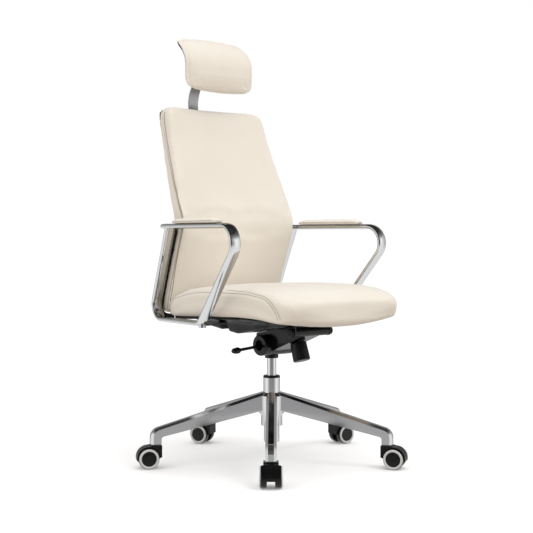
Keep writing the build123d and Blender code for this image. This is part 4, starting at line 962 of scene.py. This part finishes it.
def make_stitch_maker():
    """Stitches along the path: long rounded grains, turned to follow it."""
    tree, given, line = new_maker("stitches_along_path", ("Spacing", "Length", "Radius"))
    every = {"Curve": line, "Length": given["Spacing"]}
    spots = add_node(tree, "GeometryNodeCurveToPoints", every, mode="LENGTH").outputs
    grain = add_node(tree, "GeometryNodeMeshUVSphere", {"Segments": 8, "Rings": 6, "Radius": 1.0})
    turn = add_node(tree, "FunctionNodeAlignRotationToVector", {"Vector": spots["Tangent"]}, axis="X")
    sizes = {"X": given["Length"], "Y": given["Radius"], "Z": given["Radius"]}
    place = add_node(tree, "GeometryNodeInstanceOnPoints", {
        "Points": spots["Points"],
        "Instance": grain.outputs["Mesh"],
        "Rotation": turn.outputs["Rotation"],
        "Scale": add_node(tree, "ShaderNodeCombineXYZ", sizes).outputs["Vector"],
    })
    return end_maker(tree, place.outputs["Instances"], given["Finish"])


cord_maker = make_cord_maker()
stitch_maker = make_stitch_maker()
print("makers:", cord_maker.name, "and", stitch_maker.name)

# %% Run a maker, and sew with it
CORD_RADIUS = 0.8 * MM
FINE_CORD = 0.55 * MM
STITCH = {"Spacing": 6.0 * MM, "Length": 1.9 * MM, "Radius": 0.42 * MM}


def run_maker(piece, maker, body, slot, **values):
    """Runs a maker on a path, bakes what it makes, and lets it ride on a body."""
    modifier = piece.modifiers.new(maker.name, "NODES")
    modifier.node_group = maker
    for socket in maker.interface.items_tree:
        if socket.in_out == "INPUT" and socket.name in values:
            modifier[socket.identifier] = values[socket.name]
    bake(piece)
    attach(piece, body)
    return piece


def sew_cord(name, path, body, finish, radius=CORD_RADIUS, closed=False):
    """A thin cord in the depth of a seam."""
    line = path_piece(name, path, closed)
    return run_maker(line, cord_maker, body, "cream_leather", Radius=radius, Finish=finish)


def sew_stitches(name, path, body):
    """A row of stitches beside a seam."""
    line = path_piece(name, path)
    return run_maker(line, stitch_maker, body, "cream_leather", **STITCH, Finish=seam_thread)


print("stitches every", STITCH["Spacing"] / MM, "mm")

# %% [markdown]
# ### The arch on the sides of the seat
#
# The side of the seat is a panel of its own. Its seam rises from the rear, runs along the side and
# drops in an arch to the front corner. The path is written as points seen from the side, in
# metres, and looked on to the leather from each side, so it follows the swelling.

# %% Seat seams
SIDE_NAMES = {-1: "right", 1: "left"}
ARCH = [
    (0.207, 0.440), (0.205, 0.456), (0.183, 0.4776), (0.1416, 0.4896), (0.0936, 0.4987), (0.035, 0.503),
    (-0.0487, 0.505), (-0.1407, 0.505), (-0.1797, 0.5019), (-0.2174, 0.4973), (-0.2457, 0.4865),
    (-0.2638, 0.4713), (-0.2748, 0.4559), (-0.279, 0.441),
]
ARCH_MIDDLE = (-0.03, 0.40)
TWIN_ASIDE = 8.5 * MM
TWIN_FROM = 6
STITCH_ASIDE = 4 * MM
SEAM_WIDTH = 4.5 * MM
SEAM_DEPTH = 2.0 * MM
TWIN_DEPTH = 1.4 * MM


def swell_out(corners, middle, amount):
    """Corners of a flat path moved away from a middle point by an amount."""
    moved = []
    for first, second in corners:
        aim = Vector((first - middle[0], second - middle[1])).normalized()
        moved.append((first + aim.x * amount, second + aim.y * amount))
    return moved


def side_path(flat, side):
    """A flat path of depth and height, put well outside one side of the chair."""
    return smooth_path([(side * LOOK_FROM, depth, height) for depth, height in flat])


for side, side_name in SIDE_NAMES.items():
    inward = (-side, 0.0, 0.0)
    twin = swell_out(ARCH[TWIN_FROM:], ARCH_MIDDLE, TWIN_ASIDE)
    for flat, depth in ((ARCH, SEAM_DEPTH), (twin, TWIN_DEPTH)):
        press_groove(seat, lay_on(seat, side_path(flat, side), inward), SEAM_WIDTH, depth)
    seam_line = lay_on(seat, side_path(ARCH, side), inward)
    twin_line = lay_on(seat, side_path(twin, side), inward)
    stitch_line = lay_on(seat, side_path(swell_out(ARCH, ARCH_MIDDLE, STITCH_ASIDE), side), inward)
    # painted shade: dark cords in the seat's seam grooves
    sew_cord(f"seat_seam_{side_name}", seam_line, "seat", seam_shadow, FINE_CORD)
    sew_cord(f"seat_twin_seam_{side_name}", twin_line, "seat", seam_shadow, FINE_CORD)
    sew_stitches(f"seat_stitches_{side_name}", stitch_line, "seat")
print("seat seams laid on both sides")

# %% [markdown]
# ### The piping round the back, with a dark cord of painted shade
#
# The front cushion of the back meets a side band, and a cream piping closes the joint, up one
# side, over the top and down the other. Its height, depth and half width follow the rows of the
# back itself. Just in front of it, a dark cord lies in a groove pressed into the cushion's side,
# painted shade of the seam's gap, with a row of stitches between the two.

# %% Back piping, and dark cords of painted shade
BACK_JOINT = [
    (0.442, 0.242, 0.2060), (0.470, 0.233, 0.2102), (0.520, 0.216, 0.2122), (0.610, 0.184, 0.2142),
    (0.680, 0.160, 0.2142), (0.706, 0.1565, 0.2142), (0.732, 0.163, 0.2142), (0.812, 0.205, 0.2072),
    (0.890, 0.243, 0.1982), (0.970, 0.278, 0.1892), (1.020, 0.295, 0.1850), (1.040, 0.301, 0.1790),
    (1.052, 0.304, 0.1650),
]
TOP_JOINT = [(1.0565, 0.309, 0.140), (1.057, 0.318, 0.100), (1.057, 0.326, 0.050)]
TOP_MIDDLE = (0.0, 0.329, 1.057)
BINDING_RADIUS = 1.5 * MM
ROW_ASIDE = 2.5 * MM
ROW_HEIGHTS = (0.52, 0.66, 0.706, 0.76, 0.85)
ROW_AHEAD = (11.0, 6.0, 5.0, 7.0, 12.0)

rows = BACK_JOINT + TOP_JOINT
going_up = [(-half, depth, height) for height, depth, half in rows]
going_down = [(half, depth, height) for height, depth, half in reversed(rows)]
joint_line = smooth_path(going_up + [TOP_MIDDLE] + going_down)
sew_cord("back_piping", joint_line, "seat", cream_leather, BINDING_RADIUS)
for side, side_name in SIDE_NAMES.items():
    aheads = [np.interp(height, ROW_HEIGHTS, ROW_AHEAD) * MM for height, depth, half in BACK_JOINT]
    flat = [(row[1] - ahead, row[0]) for row, ahead in zip(BACK_JOINT, aheads)][1:-1]
    inward = (-side, 0.0, 0.0)
    press_groove(back, lay_on(back, side_path(flat, side), inward), SEAM_WIDTH, SEAM_DEPTH)
    gap_shade_line = lay_on(back, side_path(flat, side), inward)
    stitch_line = lay_on(back, gap_shade_line + (0.0, ROW_ASIDE, 0.0), inward)
    # painted shade: a dark cord in the groove beside the piping
    sew_cord(f"back_gap_shade_{side_name}", gap_shade_line, "seat", seam_gap_shade, CORD_RADIUS)
    sew_stitches(f"back_stitches_{side_name}", stitch_line, "seat")
print("back binding and its stitches")

# %% [markdown]
# ### The loop on the headrest
#
# The headrest's front panel is sewn to a strip that runs round its edge. The seam is a rounded
# loop seen from the front, a little inside the outline.

# %% Headrest seam
HEAD_LOOP = [
    (0.0, 1.1105), (0.05, 1.1115), (0.098, 1.1165), (0.115, 1.127), (0.120, 1.150), (0.1205, 1.190),
    (0.1200, 1.236), (0.115, 1.259), (0.097, 1.2675), (0.05, 1.2715), (0.0, 1.2725),
]
HEAD_SEAM_WIDTH = 2.5 * MM
HEAD_SEAM_DEPTH = 1.1 * MM
HEAD_CORD = 0.7 * MM

right_half = [(x, 0.0, z) for x, z in HEAD_LOOP]
left_half = [(-x, 0.0, z) for x, z in reversed(HEAD_LOOP[1:-1])]
loop = smooth_path(right_half + left_half + right_half[:1])
loop_line = lay_on(headrest, loop, REARWARD)
press_groove(headrest, loop_line, HEAD_SEAM_WIDTH, HEAD_SEAM_DEPTH)
loop_line = lay_on(headrest, loop, REARWARD)
sew_cord("headrest_seam", loop_line[:-1], "headrest", cream_leather, HEAD_CORD, closed=True)
print("headrest seam of", len(loop_line), "points")

# %% [markdown]
# ### The edge of the arm pads
#
# Each pad is a strip of foam under leather that is pulled round a board. Where the top panel meets
# the side strip, a seam runs round the pad. A level cut through the pad gives its path.

# %% Pad seams
PAD_SEAM_RISE = 5.0 * MM
PAD_SEAM_WIDTH = 2.5 * MM
PAD_SEAM_DEPTH = 0.8 * MM
PAD_CORD = 0.5 * MM
SAME_LEVEL = 1e-6


def level_cut(piece, height):
    """The closed path in which a level plane meets a piece, as points in order."""
    cut = bmesh.new()
    cut.from_mesh(piece.data)
    whole = cut.verts[:] + cut.edges[:] + cut.faces[:]
    made = bmesh.ops.bisect_plane(cut, geom=whole, plane_co=(0.0, 0.0, height), plane_no=UPWARD)
    ring = [part for part in made["geom_cut"] if isinstance(part, bmesh.types.BMVert)]
    inside = set(ring)
    path = [ring[0]]
    while True:
        steps = [e.other_vert(path[-1]) for e in path[-1].link_edges]
        steps = [v for v in steps if v in inside and abs(v.co.z - height) < SAME_LEVEL]
        steps = [v for v in steps if v not in path]
        if not steps:
            break
        path.append(steps[0])
    places = np.array([tuple(v.co) for v in path])
    cut.free()
    return places


for piece, side_name in ((pad_right, "right"), (pad_left, "left")):
    seam_height = points_of(piece.data)[:, 2].min() + PAD_SEAM_RISE
    press_groove(piece, level_cut(piece, seam_height), PAD_SEAM_WIDTH, PAD_SEAM_DEPTH)
    pad_line = level_cut(piece, seam_height)
    # painted shade: a dark cord in the pad's seam groove
    sew_cord(f"arm_pad_seam_{side_name}", pad_line, "seat", seam_shadow, PAD_CORD, closed=True)
print("pad seams done")

# %% Hand the cushions to the frame
CUSHIONS = (
    (seat, "seat_cushion", "seat", 0.85),
    (back, "back_cushion", "seat", 0.8),
    (band, "back_panel", "seat", 0.9),
    (headrest, "headrest_cushion", "headrest", 0.85),
    (pad_right, "arm_pad_right", "seat", 0.9),
    (pad_left, "arm_pad_left", "seat", 0.9),
)

for piece, node, body, fill in CUSHIONS:
    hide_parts(node)
    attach(piece, body)
print("cushions:", len(CUSHIONS))

# %% [markdown]
# ## Black strips of painted shade beside the rear posts, and a lip under the seat
#
# Each arm's rear post is bolted to the side of the back, and the gap between them lies in shade.
# A black strip fills that gap as painted shade, and covers the bolts. A black lip of the pan runs
# under the hem of the seat. Both follow a path, so the tree that lays a seam's cord makes them,
# only thicker.

# %% Painted-shade strips between posts and back, and the lip of the pan
LIP = [
    (0.204, -0.10, 0.4345), (0.2125, -0.03, 0.4330), (0.2145, 0.06, 0.4300), (0.2140, 0.13, 0.4265),
    (0.2110, 0.18, 0.4245), (0.1980, 0.2030, 0.4240), (0.1700, 0.2070, 0.4240), (0.0800, 0.2080, 0.4240),
]
LIP_RADIUS = 4.5 * MM
LIP_STEP = 10 * MM
POST_LINE = [
    (0.684, 0.1775), (0.57, 0.2215), (0.460, 0.2640),
    (0.437, 0.2600), (0.4290, 0.2380), (0.4275, 0.1950),
]
POST_ASIDE = 0.2614
POST_TOE = 0.114
SHADE_STRIP_INWARD = 21 * MM
SHADE_STRIP_RADIUS = 6.6 * MM
SHADE_STRIP_STEP = 8 * MM

# painted shade: a black strip laid in the shaded gap beside each rear post
for side, side_name in SIDE_NAMES.items():
    corners = []
    for height, depth in POST_LINE:
        corners.append((side * (POST_ASIDE - POST_TOE * depth - SHADE_STRIP_INWARD), depth, height))
    strip = path_piece(f"post_shade_strip_{side_name}", smooth_path(corners, SHADE_STRIP_STEP))
    run_maker(strip, cord_maker, "seat", "black_plastic", Radius=SHADE_STRIP_RADIUS, Finish=black_plastic)
lip_corners = [(-x, y, z) for x, y, z in LIP] + LIP[::-1]
lip = path_piece("pan_lip", smooth_path(lip_corners, LIP_STEP))
run_maker(lip, cord_maker, "seat", "black_plastic", Radius=LIP_RADIUS, Finish=black_plastic)
print("strips of", SHADE_STRIP_RADIUS / MM, "mm radius beside both posts, and a lip round the pan")

# %% [markdown]
# ## The tilt spring
#
# Leaning back presses a coil spring in the mechanism, between the seat plate and a nut that the
# tension knob moves. The frame has the spring as a plain tube. Here its wire follows a screw line.
# Its lowest ring is a piece of its own that moves with the nut, and the coil starts high enough
# above it to leave room for the nut's travel.

# %% Coil spring
SPRING_WIRE = 2.4 * MM
SPRING_TURNS = 2.75
SPRING_ROOM = 6.7 * MM
TURN_STEPS = 32

joints = {joint["name"]: joint for joint in frame["joints"]}
spring_axis = np.array(joints["nut_slide"]["axis"])
spring_spot = np.array(joints["tension_turn"]["pos_m"])
spring_points = points_of(nodes["tilt_spring"].data) - spring_spot
spring_rise = spring_points @ spring_axis
spring_radius = np.linalg.norm(spring_points - spring_rise[:, None] * spring_axis, axis=1).mean()


def screw_line(foot, head, turns):
    """Points on a screw line about the spring's axis, from one height to another."""
    aside = np.array([1.0, 0.0, 0.0])
    across = np.cross(spring_axis, aside)
    angles = np.linspace(0.0, 2 * math.pi * turns, int(turns * TURN_STEPS) + 1)[:, None]
    heights = np.linspace(foot, head, len(angles))[:, None]
    spokes = np.cos(angles) * aside + np.sin(angles) * across
    return spring_spot + heights * spring_axis + spring_radius * spokes


ring_height = spring_rise.min() + SPRING_WIRE
coil_foot = ring_height + SPRING_WIRE + SPRING_ROOM
wire = {"Radius": SPRING_WIRE, "Finish": plain_steel}
ring_line = screw_line(ring_height, ring_height, 1.0)[:-1]
ring = path_piece("spring_end_ring", ring_line, closed=True)
run_maker(ring, cord_maker, "nut", "plain_steel", **wire)
coil_line = screw_line(coil_foot + SPRING_WIRE, spring_rise.max() - SPRING_WIRE, SPRING_TURNS)
coil = path_piece("tilt_spring_coil", coil_line)
run_maker(coil, cord_maker, "mechanism", "plain_steel", **wire)
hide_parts("tilt_spring")
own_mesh(coil)
print("coil spring of", SPRING_TURNS, "turns, radius", round(spring_radius / MM, 1), "mm")

# %% [markdown]
# ## Wheel trims
#
# Each wheel has a light ring on its outer face, round a black hub. The ring is turned like a real
# one: a small profile that goes round the wheel's own axle. The axle's place and direction come
# from the frame's roll joints, so each ring turns with its wheel.

# %% Rings on the wheels
RING_PROFILE = [
    (21.2, -1.0), (21.5, 1.0), (22.4, 2.0), (24.5, 2.5), (26.8, 2.1), (28.0, 1.0), (28.3, -1.0),
]
RING_STEPS = 72


def turned_ring(name, centre, axle, face):
    """A ring of the small profile (radius and height off the face, in mm), turned about an axle."""
    first = axle.orthogonal().normalized()
    second = axle.cross(first)
    count = len(RING_PROFILE)
    places = []
    for number in range(RING_STEPS):
        angle = 2 * math.pi * number / RING_STEPS
        spoke = first * math.cos(angle) + second * math.sin(angle)
        for radius, rise in RING_PROFILE:
            places.append(centre + spoke * radius * MM + axle * (face + rise * MM))
    faces = []
    for number in range(RING_STEPS):
        here, there = number * count, (number + 1) % RING_STEPS * count
        for step in range(count):
            after = (step + 1) % count
            faces.append((here + step, there + step, there + after, here + after))
    mesh = bpy.data.meshes.new(name)
    mesh.from_pydata([tuple(place) for place in places], [], faces)
    shell = bmesh.new()
    shell.from_mesh(mesh)
    bmesh.ops.recalc_face_normals(shell, faces=shell.faces)
    shell.to_mesh(mesh)
    shell.free()
    shade_smooth(mesh)
    return link_piece(name, mesh, trim_silver)


def trim_wheels():
    """One ring on the outer face of every wheel."""
    count = 0
    for joint in frame["joints"]:
        if "wheel" not in joint["child"]:
            continue
        centre = Vector(joint["pos_m"])
        axle = Vector(joint["axis"]).normalized()
        wheel_node = frame["record"]["behaviour"]["bodies"][joint["child"]][0]
        reach = points_of(nodes[wheel_node].data) @ np.array(axle) - centre.dot(axle)
        if abs(reach.min()) > abs(reach.max()):
            axle.negate()
            reach = -reach
        ring = turned_ring(f"{joint['child']}_trim", centre, axle, reach.max())
        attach(ring, joint["child"])
        count += 1
    return count


print("wheel trims:", trim_wheels())
